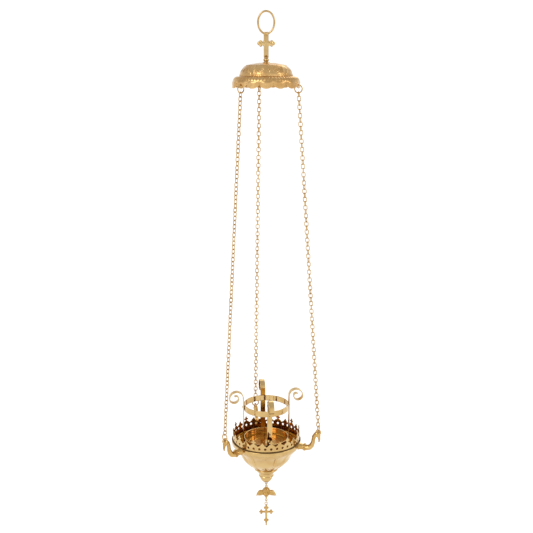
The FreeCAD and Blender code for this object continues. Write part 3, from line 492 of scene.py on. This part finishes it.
def make_canopy():
    """Spun dome with five embossed panels, a gadrooned flange and a scalloped skirt, from one sheet."""
    height = CANOPY_TOP - SKIRT_EDGE
    wide, flange_drop = 41.6, 22.7
    corners = [(2.6, -0.6), (12.0, -0.9, -0.04), (24.6, -3.5, -0.2), (33.1, -16.7), (34.2, -17.0, -0.3),
               (wide, -flange_drop), (wide, -height)]
    line = outline_points(corners, 0.4, 0.5, closed=False)
    steps = distances(line)
    length = steps[-1]
    shoulder = steps[np.argmin(np.abs(line[:, 1] + 3.9))]
    base = nearest_step(line, steps, (33.1, -16.5))
    skirt = nearest_step(line, steps, (wide, -flange_drop))
    half_scallop = math.pi * wide / SCALLOPS
    rise = 4.6
    scallop_rad = (half_scallop ** 2 + rise ** 2) / (2 * rise)
    first_scallop = math.radians(CHAIN_ANGLES[0]) * wide

    def from_hole(u, v):
        """Distance along the sheet to the middle of the nearest chain hole."""
        apart = 2 * math.pi * wide / len(CHAIN_ANGLES)
        return np.hypot(np.mod(u - first_scallop + apart / 2, apart) - apart / 2, v - (length - rise))

    def outline(u, v):
        across = np.mod(u - first_scallop + half_scallop, 2 * half_scallop) - half_scallop
        scallop = disc(across, v, 0, length - scallop_rad, scallop_rad)
        shape = np.maximum(np.minimum(scallop, v - (length - rise - 2.0)), 0.02 - v)
        return np.maximum(shape, CHAIN_HOLE_RAD - from_hole(u, v))

    def relief(turned, v, radius):
        """Height of the embossing: beads, leaves between panels, a flower in each, lobes on the flange."""
        degrees = np.degrees(turned)
        panel = np.mod(degrees - PANEL_TURN + 180 / PANELS, 360 / PANELS) - 180 / PANELS
        x = np.radians(panel) * radius
        border = np.radians(180 / PANELS - np.abs(panel)) * radius
        middle_of_wall = (shoulder + base) / 2
        y = v - middle_of_wall
        on_wall = hump(y, 8.6)
        leaf_width = 3.0 * np.sqrt(np.clip(1 - (y / 6.6) ** 2, 0.0, 1))
        leaf = np.clip(1 - (border / np.maximum(leaf_width, 0.05)) ** 2, 0, 1) * (leaf_width > 0.2)
        rib = hump(border, 0.55) * (np.abs(y) < 6.0)
        veins = 0.12 * np.cos((y * 1.1 + border) * 3.2) * leaf
        height_map = 0.60 * leaf + 0.22 * rib + veins
        frame_line = hump(border - 4.6 - 0.5 * np.cos(y * 0.5), 0.75) * on_wall
        height_map += 0.34 * frame_line
        spread = np.hypot(x, y)
        petals = np.arctan2(y, x)
        height_map += 0.42 * hump(spread, 4.6) * (0.55 + 0.45 * np.cos(6 * petals))
        height_map += 0.3 * hump(spread, 1.1)
        for side in (-1, 1):
            curl = np.hypot(x - side * 8.2, y + 0.4)
            height_map += 0.28 * hump(curl - 2.4, 0.7) + 0.30 * hump(curl, 1.0)
            tail = np.hypot(x - side * 11.2, y - 2.0)
            height_map += 0.24 * hump(tail - 1.5, 0.6)
        for level, count, size in ((shoulder - 0.9, 72, 0.62), (base - 1.3, 90, 0.60)):
            pitch = 2 * math.pi / count
            step = (np.mod(turned + pitch / 2, pitch) - pitch / 2) * radius
            height_map += 0.42 * hump(np.hypot(step, v - level), size)
        for level, size in ((6.4, 0.9), (9.2, 0.5), (shoulder - 2.4, 0.5), (base - 2.6, 0.4)):
            height_map += 0.22 * hump(v - level, size)
        lobe_count = 4 * SCALLOPS
        lobe = np.abs(np.cos(turned * lobe_count / 2 + math.pi / 4))
        flange_middle = (base + skirt) / 2 + 0.4
        height_map += 0.85 * (lobe ** 0.8 - 0.35) * hump(v - flange_middle, (skirt - base) / 2 - 0.2)
        return height_map

    def surface(u, v):
        turned = u / wide
        tab = np.mod(u - first_scallop + half_scallop, 2 * half_scallop) / half_scallop - 1
        tabs = (0.8 - 1.5 * tab ** 2) * np.clip((v - skirt + 0.4) / 1.6, 0, 1)
        tabs *= 1 - hump(from_hole(u, v), 6.5)
        embossed = relief(turned, v, np.interp(v, steps, line[:, 0])) * np.clip((skirt + 0.3 - v) / 0.6, 0, 1)
        return spun_surface(line, steps, v, embossed + tabs, turned, CANOPY_TOP, 0.1)

    cell = (math.pi * 2 * wide / 1080, 0.36)
    u, v, faces = cut_grid((0, 2 * math.pi * wide), (0, length + 0.3), cell, outline, wrap=True)
    half = rounded_half(outline, u, v, CANOPY_SHEET * 0.85, 0.5)
    points, skins = plate(u, v, faces[:, ::-1], surface, half)
    add_piece("embossed_canopy", points, skins, SATIN, "canopy", ["canopy"], "satin_brass")


# ---------------------------------------------------------------- chains

def link_points(length, width, wire):
    """A long link of round wire, upright in the XZ plane, about the origin."""
    bend = (width - wire) / 2
    straight = (length - wire) / 2 - bend
    turned = np.linspace(0, math.pi, 13)
    upper = np.stack([bend * np.cos(turned), 0 * turned, straight + bend * np.sin(turned)], axis=1)
    lower = np.stack([-bend * np.cos(turned), 0 * turned, -straight - bend * np.sin(turned)], axis=1)
    return rod_along(np.concatenate([upper, lower]), wire / 2, 12, True)


LINK_COUNT = 84
LINK_PITCH = 5.25
LINK_WIDTH = 5.8
LINK_WIRE = 1.2
UPPER_RING_WIRE = 1.6
LOWER_RING_WIRE = 1.5


def make_chains():
    """Three chains of links turned a quarter to each other, each with a ring at its top and at its foot."""
    rng = np.random.default_rng(7)
    for number, joint in enumerate(CHAIN_JOINTS, start=1):
        name = "chain_%d" % number
        top = np.array(joint["pos_m"]) / MM
        ring_low, ring_high = span("lower_jump_ring_%d" % number)
        foot = (ring_low + ring_high) / 2
        way = (foot - top) / np.linalg.norm(foot - top)
        lean = math.degrees(math.acos(-way[2]))
        course = math.degrees(math.atan2(way[1], way[0]))
        upper_low, upper_high = span("upper_jump_ring_%d" % number)
        start = upper_high[2] - upper_low[2] - 1.5 * UPPER_RING_WIRE
        parts = []
        for index in range(LINK_COUNT):
            link = link_points(LINK_PITCH + 2 * LINK_WIRE, LINK_WIDTH, LINK_WIRE)
            wobble = rng.normal(0, 5.0)
            points = turn(link[0], wobble + (90 if index % 2 == 0 else 0))
            points = turn(points, rng.normal(0, 1.0), "y")
            points = points + np.array([0, 0, -start - LINK_PITCH * (index + 0.5)])
            parts.append((turn(turn(points, -lean, "y"), course) + top, link[1]))
        add_piece("chain_links_%d" % number, *joined(parts), WIRE, name, [name])
        for label, turned in (("upper", 0), ("lower", 90)):
            node = "%s_jump_ring_%d" % (label, number)
            node_low, node_high = span(node)
            wire_rad = (UPPER_RING_WIRE if label == "upper" else LOWER_RING_WIRE) / 2
            mean = (node_high[2] - node_low[2]) / 2 - wire_rad
            path = ring_path(mean, "y", (0, 0, 0), 56)
            angle = np.linspace(0, 2 * math.pi, 56, endpoint=False)
            split = hump(np.abs(angle - math.pi / 2 * 0.55), 0.12)
            ring = rod_along(path, wire_rad * (1 - 0.2 * split), 14, True)
            centre = (node_low + node_high) / 2
            points = turn(ring[0], turned)
            points = turn(turn(points, -lean, "y"), course) + centre
            add_piece("%s_ring_%d" % (label, number), points, ring[1], WIRE, name, [node])


# ---------------------------------------------------------------- swan-neck brackets

def cast_together(name, parts, voxel, rounds):
    """Several closed forms melted into one casting, as (points, faces) in millimetres."""
    points, faces = joined(parts)
    mesh = bpy.data.meshes.new(name)
    mesh.from_pydata((points * MM).tolist(), [], faces)
    work = bpy.data.objects.new(name, mesh)
    bpy.context.scene.collection.objects.link(work)
    melt = work.modifiers.new("melt", "REMESH")
    melt.mode = "VOXEL"
    melt.voxel_size = voxel * MM
    ease = work.modifiers.new("ease", "SMOOTH")
    ease.factor = 0.5
    ease.iterations = rounds
    made = work.evaluated_get(bpy.context.evaluated_depsgraph_get()).to_mesh()
    points = np.array([vertex.co for vertex in made.vertices]) / MM
    faces = [list(face.vertices) for face in made.polygons]
    bpy.data.objects.remove(work)
    return points, faces


def make_brackets():
    """A cast swan: tube out of the bowl, elbow, neck, head with an eye for the chain, and a drooping bill."""
    ring_low, ring_high = span("lower_jump_ring_1")
    reach = math.hypot(*((ring_low + ring_high) / 2)[:2])
    level = -4.0
    foot = RIM_RAD - 1.4
    crest_level = (span("swan_bracket_1")[1][2] - RIM) - 3.6
    body = np.array([(foot, level), (foot + 2.2, level), (foot + 6, level - 0.3), (foot + 11, level - 0.9),
                     (foot + 15.4, level + 0.1), (foot + 18.6, level + 3.4), (foot + 20.4, level + 8.0),
                     (foot + 21.0, level + 12.6), (foot + 21.8, level + 16.6), (foot + 23.6, level + 19.4)])
    thick = np.array([5.4, 4.6, 3.9, 3.8, 3.7, 3.3, 2.8, 2.5, 2.7, 3.2])
    share = np.linspace(0, 1, len(body))
    fine = np.linspace(0, 1, 60)
    path = upright_plane(np.interp(fine, share, body[:, 0]), np.interp(fine, share, body[:, 1]))
    neck = rod_along(path, np.interp(fine, share, thick), 20)
    head_centre = np.array([reach - 1.6, 0, crest_level - 3.0])
    head = ball(head_centre, (4.3, 3.2, 4.0))
    brow = ball(head_centre + np.array([1.6, 0, -1.6]), (3.0, 2.7, 3.0))
    bill_path = head_centre + np.array([(1.6, 0, -1.0), (2.6, 0, -4.4), (3.1, 0, -7.6), (2.7, 0, -10.2)])
    bill = rod_along(bill_path, [2.5, 1.9, 1.4, 0.9], 16)
    tip = ball(bill_path[-1], (1.0, 1.2, 1.1))
    knob = ball(head_centre + np.array([3.2, 0, -3.4]), (1.1, 1.2, 1.3))
    eye_ring = rod_along(ring_path(2.75, "y", (reach, 0, crest_level), 40), 1.25, 16, True)
    eyes = [ball(head_centre + np.array([0.6, side * 2.95, -0.2]), (0.75, 0.55, 0.75)) for side in (-1, 1)]
    cast = cast_together("cast_swan", [neck, head, brow, bill, tip, knob, eye_ring] + eyes, 0.26, 3)
    points = cast[0].copy()
    below = points[:, 0] < RIM_RAD + 1.5
    wall = RIM_RAD - np.interp(points[:, 2], [-12.0, -8.0, -4.0, 0.0], [6.8, 2.6, 0.9, 0.6])
    points[below, 0] = np.maximum(points[below, 0], wall[below])
    around_neck = np.interp(points[:, 2], [2.0, 10.0], [0.0, 1.0])
    around_neck *= np.interp(points[:, 0], [reach - 7, reach - 3], [1.0, 0.0])
    feathers = 0.16 * np.cos(points[:, 2] * 3.6 + np.abs(points[:, 1]) * 2.4) * around_neck
    points[:, 1] += np.sign(points[:, 1]) * feathers
    for number, angle in enumerate(CHAIN_ANGLES, start=1):
        name = "swan_bracket_%d" % number
        placed = turn(points, angle) + np.array([0, 0, RIM])
        add_piece("swan_%d" % number, placed, cast[1], CAST, "bowl", [name])
        collar = lathe([(3.0, -1.6, 0.3), (3.0, 1.6), (4.5, 1.6, -0.35), (4.5, 0.75, 0.5), (5.1, 0.75, -0.5),
                        (5.1, -0.75, 0.5), (4.5, -0.75, -0.35), (4.5, -1.6)], columns=56, step=0.4)
        collar_points = turn(collar[0], 90, "y") + np.array([RIM_RAD + 7.5, 0, level - 0.3])
        placed = turn(collar_points, angle) + np.array([0, 0, RIM])
        node = "bracket_collar_%d" % number
        add_piece("collar_%d" % number, placed, collar[1], CAST, "bowl", [node])


# ---------------------------------------------------------------- bowl, crown and rim

# The holder's straps and the crown's tall tips are turned this far from the X axis.
STRAP_TURN = 8.5
BOWL_SHEET = 1.2
BOWL_TURN = -94.7
LOBE_PAIR = 72.0
WIDE_LOBE = 48.0


def make_bowl():
    """Pressed bowl with five wide and five narrow lobes under arched tops, and three lines below the rim."""
    wall = BOWL_SHEET / 2
    floor_level = BOWL_FOOT - RIM + wall
    corners = [(RIM_RAD - wall, 0), (RIM_RAD - wall, -3.4, -0.16), (44.2, -7.8, 0.10), (39.6, -12.0, 0.06),
               (33.4, -21.5, -0.04), (30.4, -27.0, -0.05), (22.0, -35.4, -0.03), (15.2, floor_level),
               (3.2, floor_level)]
    line = outline_points(corners, 0.5, 1.2, closed=False)
    steps = distances(line)
    length = steps[-1]
    foot = nearest_step(line, steps, (15.2, floor_level))

    def outline(u, v):
        return np.maximum(-v, v - length)

    def relief(turned, v, radius):
        """Height of the pressing: rounded lobes under arched tops, and the lines round the rim."""
        degrees = np.mod(np.degrees(turned) - BOWL_TURN + WIDE_LOBE / 2, LOBE_PAIR)
        wide = degrees < WIDE_LOBE
        width = np.where(wide, WIDE_LOBE, LOBE_PAIR - WIDE_LOBE)
        offset = np.where(wide, degrees - WIDE_LOBE / 2, degrees - (LOBE_PAIR + WIDE_LOBE) / 2) / width
        border = np.radians((0.5 - np.abs(offset)) * width) * radius
        arch = 8.4 + np.where(wide, 3.4, 2.2) * (2 * offset) ** 2
        below = np.clip((v - arch) / 2.6, 0, 1) * np.clip((foot - 1.0 - v) / 5.0, 0, 1)
        lobes = np.where(wide, 1.7, 1.3) * np.sqrt(np.clip(1 - (2 * offset) ** 2, 0, 1)) - 0.6
        height_map = below * (lobes - 0.75 * hump(border, 1.7) + 0.35 * hump(border - 2.6, 1.0))
        height_map -= 0.45 * hump(v - arch, 1.5) * (v > 6.0)
        for level, rise in ((4.6, 0.30), (6.3, -0.28), (7.4, 0.22)):
            height_map += rise * hump(v - level, 0.75)
        height_map += 0.35 * hump(v - foot + 1.4, 0.9)
        return height_map

    def surface(u, v):
        turned = u / RIM_RAD
        lift = relief(turned, v, np.interp(v, steps, line[:, 0])) * np.clip(v / 4.0, 0, 1)
        return spun_surface(line, steps, v, lift, turned, RIM, 0.15)

    cell = (2 * math.pi * RIM_RAD / 720, 0.5)
    u, v, faces = cut_grid((0, 2 * math.pi * RIM_RAD), (0, length), cell, outline, wrap=True)
    half = rounded_half(outline, u, v, BOWL_SHEET, 0.5)
    points, skins = plate(u, v, faces[:, ::-1], surface, half)
    # the bowl's inside faces take the painted inside shade
    paint_inside_shade(add_piece("fluted_bowl", points, skins, POLISHED, "bowl", ["bowl"]), RIM + 1)


def make_crown():
    """Pierced gallery: tall and short budded tips in turn over a row of round holes."""
    outer = RIM_RAD - 1.4
    sheet_half = 0.45
    middle_rad = outer - sheet_half - 0.1
    tall, short, valley = 17.6, 13.9, 9.2
    tips = 24
    pitch = 2 * math.pi * middle_rad / tips
    turned = math.radians(STRAP_TURN) * middle_rad
    small_pitch = 2 * math.pi * middle_rad / 36

    def outline(u, v):
        cell = (u - turned) / pitch
        number = np.floor(cell + 0.5)
        x = (cell - number) * pitch
        is_tall = np.mod(number, 2) < 0.5
        top = np.where(is_tall, tall, short)
        w = v - top
        reach = np.where(is_tall, 1.0, 0.8)
        bud = disc(x, w, 0, -1.35 * reach, 1.35 * reach)
        side = disc(np.abs(x), w, 1.95 * reach, -3.7 * reach, 1.25 * reach)
        stem = box(x, w, -1.1, 1.1, -8.0, -1.2)
        flare = np.where(is_tall, 3.4, 2.0)
        swell = np.clip((valley + flare - v) / flare, 0, 1)
        arch = np.maximum(np.abs(x) - (1.0 + (pitch / 2 - 0.9) * swell ** 1.9), v - (valley + flare))
        tip = np.minimum(np.minimum(bud, side), np.minimum(stem, arch))
        shape = np.minimum(tip, v - (valley - 0.6))
        shape = np.maximum(shape, -disc(np.abs(x), v, pitch / 2, valley + 1.0, 1.75))
        hole_x = np.mod(u - turned + small_pitch / 2, small_pitch) - small_pitch / 2
        shape = np.maximum(shape, -disc(hole_x, v, 0, 5.0, 1.55))
        return np.maximum(shape, -v)

    def surface(u, v):
        angle = u / middle_rad
        flare = 0.35 * np.clip(v / tall, 0, 1) ** 2
        radius = middle_rad + flare
        return np.stack([radius * np.cos(angle), radius * np.sin(angle), RIM + v], axis=1)

    length = 2 * math.pi * middle_rad
    u, v, faces = cut_grid((0, length), (0, tall + 0.4), (length / 1080, 0.26), outline, wrap=True)
    half = rounded_half(outline, u, v, 2 * sheet_half, 0.45)
    half += 0.16 * hump(v - 1.1, 0.8) + 0.10 * hump(v - 8.0, 0.5)
    points, skins = plate(u, v, faces, surface, half)
    # the crown's inside faces take the painted inside shade
    paint_inside_shade(add_piece("pierced_crown", points, skins, POLISHED, "bowl", ["crown_gallery"]), RIM + 20)


# ---------------------------------------------------------------- glass holder

def make_bands():
    """The two bands round the glass, a little out of round as bent strip is."""
    for node in ("holder_upper_band", "holder_lower_band"):
        low, high = span(node)
        outer = high[0]
        inner = outer - 1.2
        height = high[2] - low[2]
        outline = [(inner, 0), (outer, 0), (outer, height), (inner, height)]
        points, faces = lathe(outline, low[2], 180, 0.6, 0.3)
        angle = np.arctan2(points[:, 1], points[:, 0])
        dent = 0.10 * np.sin(3 * angle + 0.6) + 0.06 * np.sin(7 * angle)
        radius = np.hypot(points[:, 0], points[:, 1])
        points[:, :2] *= ((radius + dent - 0.16) / radius)[:, None]
        add_piece(node + "_strip", points, faces, POLISHED, "bowl", [node])


def make_straps():
    """Four flat straps from under the seat, up the outside of both bands and over into a scroll."""
    band_high = span("holder_upper_band")[1]
    seat_low = span("seat_plate")[0]
    thick, width, bend = 1.3, 6.8, 2.6
    middle = band_high[0] + thick / 2
    foot_level = seat_low[2] - thick / 2
    scroll_level = RIM + 61.5

    def curl(start, heading, radius, sweep, count):
        """Points of an arc that turns right by sweep degrees from start; heading in degrees."""
        side = math.radians(heading - 90)
        centre = np.array(start) + radius * np.array([math.cos(side), math.sin(side)])
        turned = np.radians(heading + 90 - np.linspace(0, sweep, count))
        return centre + radius * np.stack([np.cos(turned), np.sin(turned)], axis=1)

    flat = [np.array([(9.0, foot_level), (15.0, foot_level), (middle - bend, foot_level)])]
    corner = np.radians(np.linspace(-90, 0, 9)[1:])
    bend_centre = np.array([middle - bend, foot_level + bend])
    flat.append(bend_centre + bend * np.stack([np.cos(corner), np.sin(corner)], axis=1))
    rise = np.linspace(foot_level + bend + 2, scroll_level, 24)
    flat.append(np.stack([np.full(24, middle), rise], axis=1))
    heading = 90.0
    for radius, sweep in ((9.4, 180), (6.2, 180), (3.4, 130)):
        flat.append(curl(flat[-1][-1], heading, radius, sweep, 22)[1:])
        heading -= sweep
    line = np.concatenate(flat)
    path = np.stack([line[:, 0], 0 * line[:, 0], line[:, 1]], axis=1)
    ahead = np.gradient(path, axis=0)
    ahead /= np.linalg.norm(ahead, axis=1)[:, None]
    outward = np.stack([-ahead[:, 2], 0 * ahead[:, 0], ahead[:, 0]], axis=1)
    half_w, half_t = width / 2, thick / 2
    corners = [(-half_w, -half_t), (half_w, -half_t), (half_w, half_t), (-half_w, half_t)]
    section = outline_points(corners, 0.9, 0.28)
    taper = np.interp(np.arange(len(path)), [0, len(path) - 30, len(path) - 1], [1.0, 1.0, 0.72])
    points = (path[:, None] + np.array([0.0, 1.0, 0.0]) * (section[None, :, :1] * taper[:, None, None])
              + outward[:, None] * section[None, :, 1:]).reshape(-1, 3)
    count = len(section)
    faces = grid_faces(len(path), count, False, True)
    faces += [list(range(count))[::-1], [len(points) - count + index for index in range(count)]]
    for number in range(1, 5):
        placed = turn(points, STRAP_TURN + 90 * (number - 2))
        node = "holder_strap_%d" % number
        strap = add_piece("scroll_strap_%d" % number, placed, faces, POLISHED, "bowl", [node])
        # the straps' inside faces below the scroll take the painted inside shade
        paint_inside_shade(strap, scroll_level)


def make_seat():
    """The plate under the glass, with two turned grooves and a hole for the rod."""
    low = span("seat_plate")[0]
    edge = 28.2
    outline = [(2.6, 0), (edge, 0, 0.6), (edge, 1.2), (24.0, 1.2), (23.4, 0.85), (22.8, 1.2), (17.0, 1.2),
               (16.4, 0.85), (15.8, 1.2), (4.65, 1.2), (3.4, 0.6), (2.6, 0.6)]
    # the seat plate down in the bowl takes the painted inside shade all over
    add_piece("seat_disc", *lathe(outline, low[2], 144, 0.7, 0.2), PAINTED_INSIDE_SHADE, "bowl", ["seat_plate"])


def make_cup():
    """The turned cup under the bowl: three stepped mouldings over a rounded end, hollow at the top."""
    low, high = span("lower_cup")
    height = high[2] - low[2]
    rad = high[0]
    outline = [(2.6, height), (rad - 1.6, height, -0.35), (rad, height - 1.6, -0.4),
               (rad - 0.5, height - 3.2, 0.2), (rad - 3.0, height - 4.6, -0.25),
               (rad - 3.4, height - 5.8, 0.2), (11.2, height - 8.2), (9.9, height - 11.6, 0.3),
               (10.3, height - 12.4, -0.7), (9.9, height - 13.6, 0.4), (8.7, height - 14.2),
               (8.9, height - 15.0, -0.15), (7.6, height - 18.6, -0.12), (4.4, 0.4, -0.2), (3.6, 0.0),
               (0.05, 0.0), (0.05, height - 14.0), (2.6, height - 14.0)]
    points, faces = lathe(outline, low[2], 160, 0.5, 0.25)
    add_piece("turned_cup", points, faces, POLISHED, "bowl", ["lower_cup"])


# ---------------------------------------------------------------- pendants

LOOP_RAD = 1.6
LOOP_WIRE = 1.0
SMALL_CROSS_THICK = 2.0


def make_cherub():
    """A winged cherub's head, cast in the round: face, cheeks, curls, and two wings of layered feathers."""
    low, high = span("cherub_pendant")
    centre = high[2] - LOOP_RAD - 9.2
    forms = [ball((0, 0.3, 0.2), (4.9, 3.7, 6.0)), ball((0, -0.6, -1.0), (4.2, 3.5, 5.0)),
             ball((0, -2.3, -4.9), (1.6, 1.3, 1.2)), ball((0, 0.2, -6.0), (2.4, 2.0, 1.9)),
             ball((0, -4.0, -1.3), (0.65, 0.75, 1.3)), ball((0, -4.35, -2.0), (0.80, 0.60, 0.55))]
    for side in (-1, 1):
        forms.append(ball((side * 2.1, -2.7, -2.9), (1.6, 1.2, 1.4)))
        forms.append(ball((side * 1.75, -3.55, 0.0), (0.85, 0.45, 0.50)))
        forms.append(ball((side * 1.75, -3.50, 1.15), (1.2, 0.45, 0.36)))
        forms.append(ball((side * 4.5, 0.0, -1.2), (0.7, 0.9, 1.4)))
        forms.append(ball((side * 0.5, -3.95, -3.4), (0.7, 0.45, 0.30)))
    forms.append(ball((0, -3.75, -4.0), (0.85, 0.5, 0.32)))
    for level, count in ((2.8, 15), (4.4, 11), (5.7, 6)):
        wide = 4.9 * math.sqrt(1 - ((level - 0.2) / 6.6) ** 2)
        for index in range(count):
            angle = 2 * math.pi * (index + 0.5 * (count % 2)) / count
            spot = (wide * math.cos(angle), 0.80 * wide * math.sin(angle) + 0.2, level)
            forms.append(ball(spot, 1.15, 12, 16))
    for side in (-1, 1):
        root = np.array([side * 4.0, 0.6, 0.2])
        wrist = np.array([side * 9.4, 0.1, 2.4])
        elbow = (root + wrist) / 2 + np.array([0, 0, 0.7])
        forms.append(rod_along([root, elbow, wrist], [1.9, 1.8, 1.4], 14, flat=0.7))
        for index in range(7):
            share = index / 6
            hinge = root + (wrist - root) * (0.15 + 0.85 * share)
            fan = math.radians(-100 + 38 * share)
            size = 5.0 + 4.4 * share
            way = np.array([side * math.cos(fan), 0, math.sin(fan)])
            layer = np.array([0, -0.18 + 0.08 * (index % 2), 0])
            bend_at = hinge + layer + way * size * 0.55 + np.array([side * 0.5, -0.25, 0])
            tip = hinge + layer + way * size
            forms.append(rod_along([hinge + layer, bend_at, tip], [1.0, 1.0, 0.45], 12))
        for index in range(5):
            share = index / 4
            hinge = root + (wrist - root) * (0.2 + 0.8 * share) + np.array([0, -0.75, 0.2])
            fan = math.radians(-98 + 36 * share)
            drop = np.array([side * math.cos(fan) * 3.2, 0.1, math.sin(fan) * 3.2])
            forms.append(rod_along([hinge, hinge + drop], [0.85, 0.5], 12))
    top_loop = high[2] - LOOP_RAD - centre
    foot_loop = low[2] + LOOP_RAD - centre
    for level in (top_loop, foot_loop):
        forms.append(rod_along(ring_path(LOOP_RAD, "y", (0, 0, level), 32), LOOP_WIRE / 2, 12, True))
    forms.append(rod_along([(0, 0.4, 5.4), (0, 0, top_loop - 1.3)], [1.4, 0.8], 12))
    forms.append(rod_along([(0, 0.2, -6.8), (0, 0, foot_loop + 1.3)], [1.4, 0.8], 12))
    points, faces = cast_together("cherub_cast", forms, 0.17, 2)
    for side in (-1, 1):
        socket = np.hypot(points[:, 0] - side * 1.75, points[:, 2] - 0.45)
        on_face = points[:, 1] < -1.2
        points[:, 1] += 0.35 * hump(socket - 1.0, 0.5) * on_face
    add_piece("cast_cherub", points + np.array([0, 0, centre]), faces, CAST, "cherub", ["cherub_pendant"])


def make_small_cross():
    """A thin cross with round buds on its arms and a point at its foot, hung from a loop."""
    low, high = span("cross_pendant")
    top, foot, half_span = high[2] - LOOP_RAD, low[2], high[0]
    arm_level = top - 10.4

    def outline(u, v):
        x = np.abs(u)
        forms = [bar(x, v, (0, top - 1.5), (0, foot + 5.5), 1.5),
                 bar(x, v, (0, arm_level), (half_span - 3.0, arm_level), 1.4),
                 bar(x, v, (0, foot + 6.0), (0, foot + 1.0), 0.95)]
        for across, level, radius in ((half_span - 1.05, arm_level, 1.05), (0, foot + 3.6, 1.0),
                                      (1.75, top - 4.2, 1.75), (1.75, foot + 8.4, 1.75), (0, arm_level, 2.5)):
            forms.append(disc(x, v, across, level, radius))
        forms.append(disc(x, np.abs(v - arm_level), half_span - 3.4, 1.9, 1.6))
        return np.minimum.reduce(forms)

    across, up = (-half_span - 0.3, half_span + 0.3), (foot - 0.3, top)
    u, v, faces = cut_grid(across, up, (0.17, 0.17), outline)
    depth = np.clip(-outline(u, v) / 1.3, 0, 1)
    half = SMALL_CROSS_THICK / 2 * (0.35 + 0.65 * np.sqrt(1 - (1 - depth) ** 2))
    half += 0.3 * hump(np.hypot(u, v - arm_level), 1.5)
    cross = plate(u, v, faces, upright_plane, half)
    loop = rod_along(ring_path(LOOP_RAD, "x", (0, 0, top), 32), LOOP_WIRE / 2, 12, True, upright=(1, 0, 0))
    neck = ball((0, 0, top - 2.2), (0.95, 0.8, 0.9), 14, 18)
    add_piece("small_budded_cross", *joined([cross, loop, neck]), CAST, "cross_pendant", ["cross_pendant"])


# ---------------------------------------------------------------- dressing, floor, light and camera

WIRE_NODES = {"pendant_ring_1", "pendant_ring_2", "pendant_ring_3", "cup_eye"}


def dress_nodes():
    """The CAD nodes that stay, such as rivets, nuts, screws and small rings, take their material by name."""
    for part in frame["record"]["subparts"]:
        mesh = frame["nodes"][part["node"]].data
        mesh.materials.clear()
        # nodes on the dark slot, such as the bead under the crown, take the painted gap shade
        mesh.materials.append(WIRE if part["node"] in WIRE_NODES else SLOT_MATERIALS[part["material_slot"]])


def make_floor():
    """A wide pale floor, well below the lamp that hangs above it."""
    size = FLOOR_SIZE
    level = cad_box[0][2] - FLOOR_DROP
    mesh = bpy.data.meshes.new("floor")
    mesh.from_pydata([(-size, -size, level), (size, -size, level), (size, size, level), (-size, size, level)],
                     [], [(0, 1, 2, 3)])
    floor = bpy.data.objects.new("floor", mesh)
    bpy.context.scene.collection.objects.link(floor)
    paint = bpy.data.materials.new("pale_floor")
    paint.use_nodes = True
    shader = paint.node_tree.nodes["Principled BSDF"]
    shader.inputs["Base Color"].default_value = (0.94, 0.94, 0.94, 1.0)
    shader.inputs["Roughness"].default_value = 0.8
    mesh.materials.append(paint)


def sun(name, place, strength, spread):
    """A wide soft light from the direction of place."""
    lamp = bpy.data.lights.new(name, "SUN")
    lamp.energy = strength
    lamp.angle = math.radians(spread)
    holder = bpy.data.objects.new(name, lamp)
    holder.location = place
    holder.rotation_euler = (-Vector(place)).to_track_quat("-Z", "Y").to_euler()
    bpy.context.scene.collection.objects.link(holder)
    return holder


def make_light():
    """A room bright round the horizon and darker overhead and at the sides, with three soft lights.

    One more light falls on the floor only.
    """
    world = bpy.data.worlds.new("studio")
    bpy.context.scene.world = world
    world.use_nodes = True
    nodes, link = world.node_tree.nodes, world.node_tree.links.new
    back = nodes["Background"]
    split = nodes.new("ShaderNodeSeparateXYZ")
    link(nodes.new("ShaderNodeTexCoord").outputs["Generated"], split.inputs["Vector"])

    def eased(value, low, high, start, end):
        change = nodes.new("ShaderNodeMapRange")
        change.interpolation_type = "SMOOTHSTEP"
        for socket, number in (("From Min", low), ("From Max", high), ("To Min", start), ("To Max", end)):
            change.inputs[socket].default_value = number
        link(value, change.inputs["Value"])
        return change.outputs["Result"]

    def combined(operation, *values):
        step = nodes.new("ShaderNodeMath")
        step.operation = operation
        for index, value in enumerate(values):
            link(value, step.inputs[index])
        return step.outputs[0]

    overhead = eased(split.outputs["Z"], 0.15, 0.70, 1.03, 0.70)
    sideways = eased(combined("ABSOLUTE", split.outputs["X"]), 0.55, 0.90, 1.0, 0.80)
    link(combined("MULTIPLY", overhead, sideways), back.inputs["Strength"])
    back.inputs["Color"].default_value = (1.0, 1.0, 1.0, 1.0)
    sun("key_light", (-1.0, -1.2, 1.0), 0.75, 34.0)
    sun("fill_light", (1.5, -0.5, 0.7), 0.40, 26.0)
    sun("back_light", (0.4, 1.2, 1.1), 0.40, 30.0)
    floor_light = sun("floor_light", (0.0, 0.0, 1.0), 0.75, 60.0)
    only_floor = bpy.data.collections.new("lit_by_floor_light")
    only_floor.objects.link(bpy.data.objects["floor"])
    floor_light.light_linking.receiver_collection = only_floor
    bpy.context.scene.view_settings.view_transform = "Standard"


def make_camera():
    """The photograph's view: level with the canopy, looking a little down."""
    lens = bpy.data.cameras.new("camera")
    lens.lens = CAMERA_LENS
    lens.sensor_width = 36.0
    camera = bpy.data.objects.new("camera", lens)
    camera.location = CAMERA_PLACE
    camera.rotation_euler = (math.radians(90.0 + CAMERA_PITCH), 0.0, 0.0)
    bpy.context.scene.collection.objects.link(camera)
    bpy.context.scene.camera = camera


dress_nodes()
make_suspension_ring()
make_top_cross()
make_knob()
make_canopy()
make_chains()
make_brackets()
make_bowl()
make_crown()
make_bands()
make_straps()
make_seat()
make_cup()
make_cherub()
make_small_cross()
make_floor()
make_light()
make_camera()
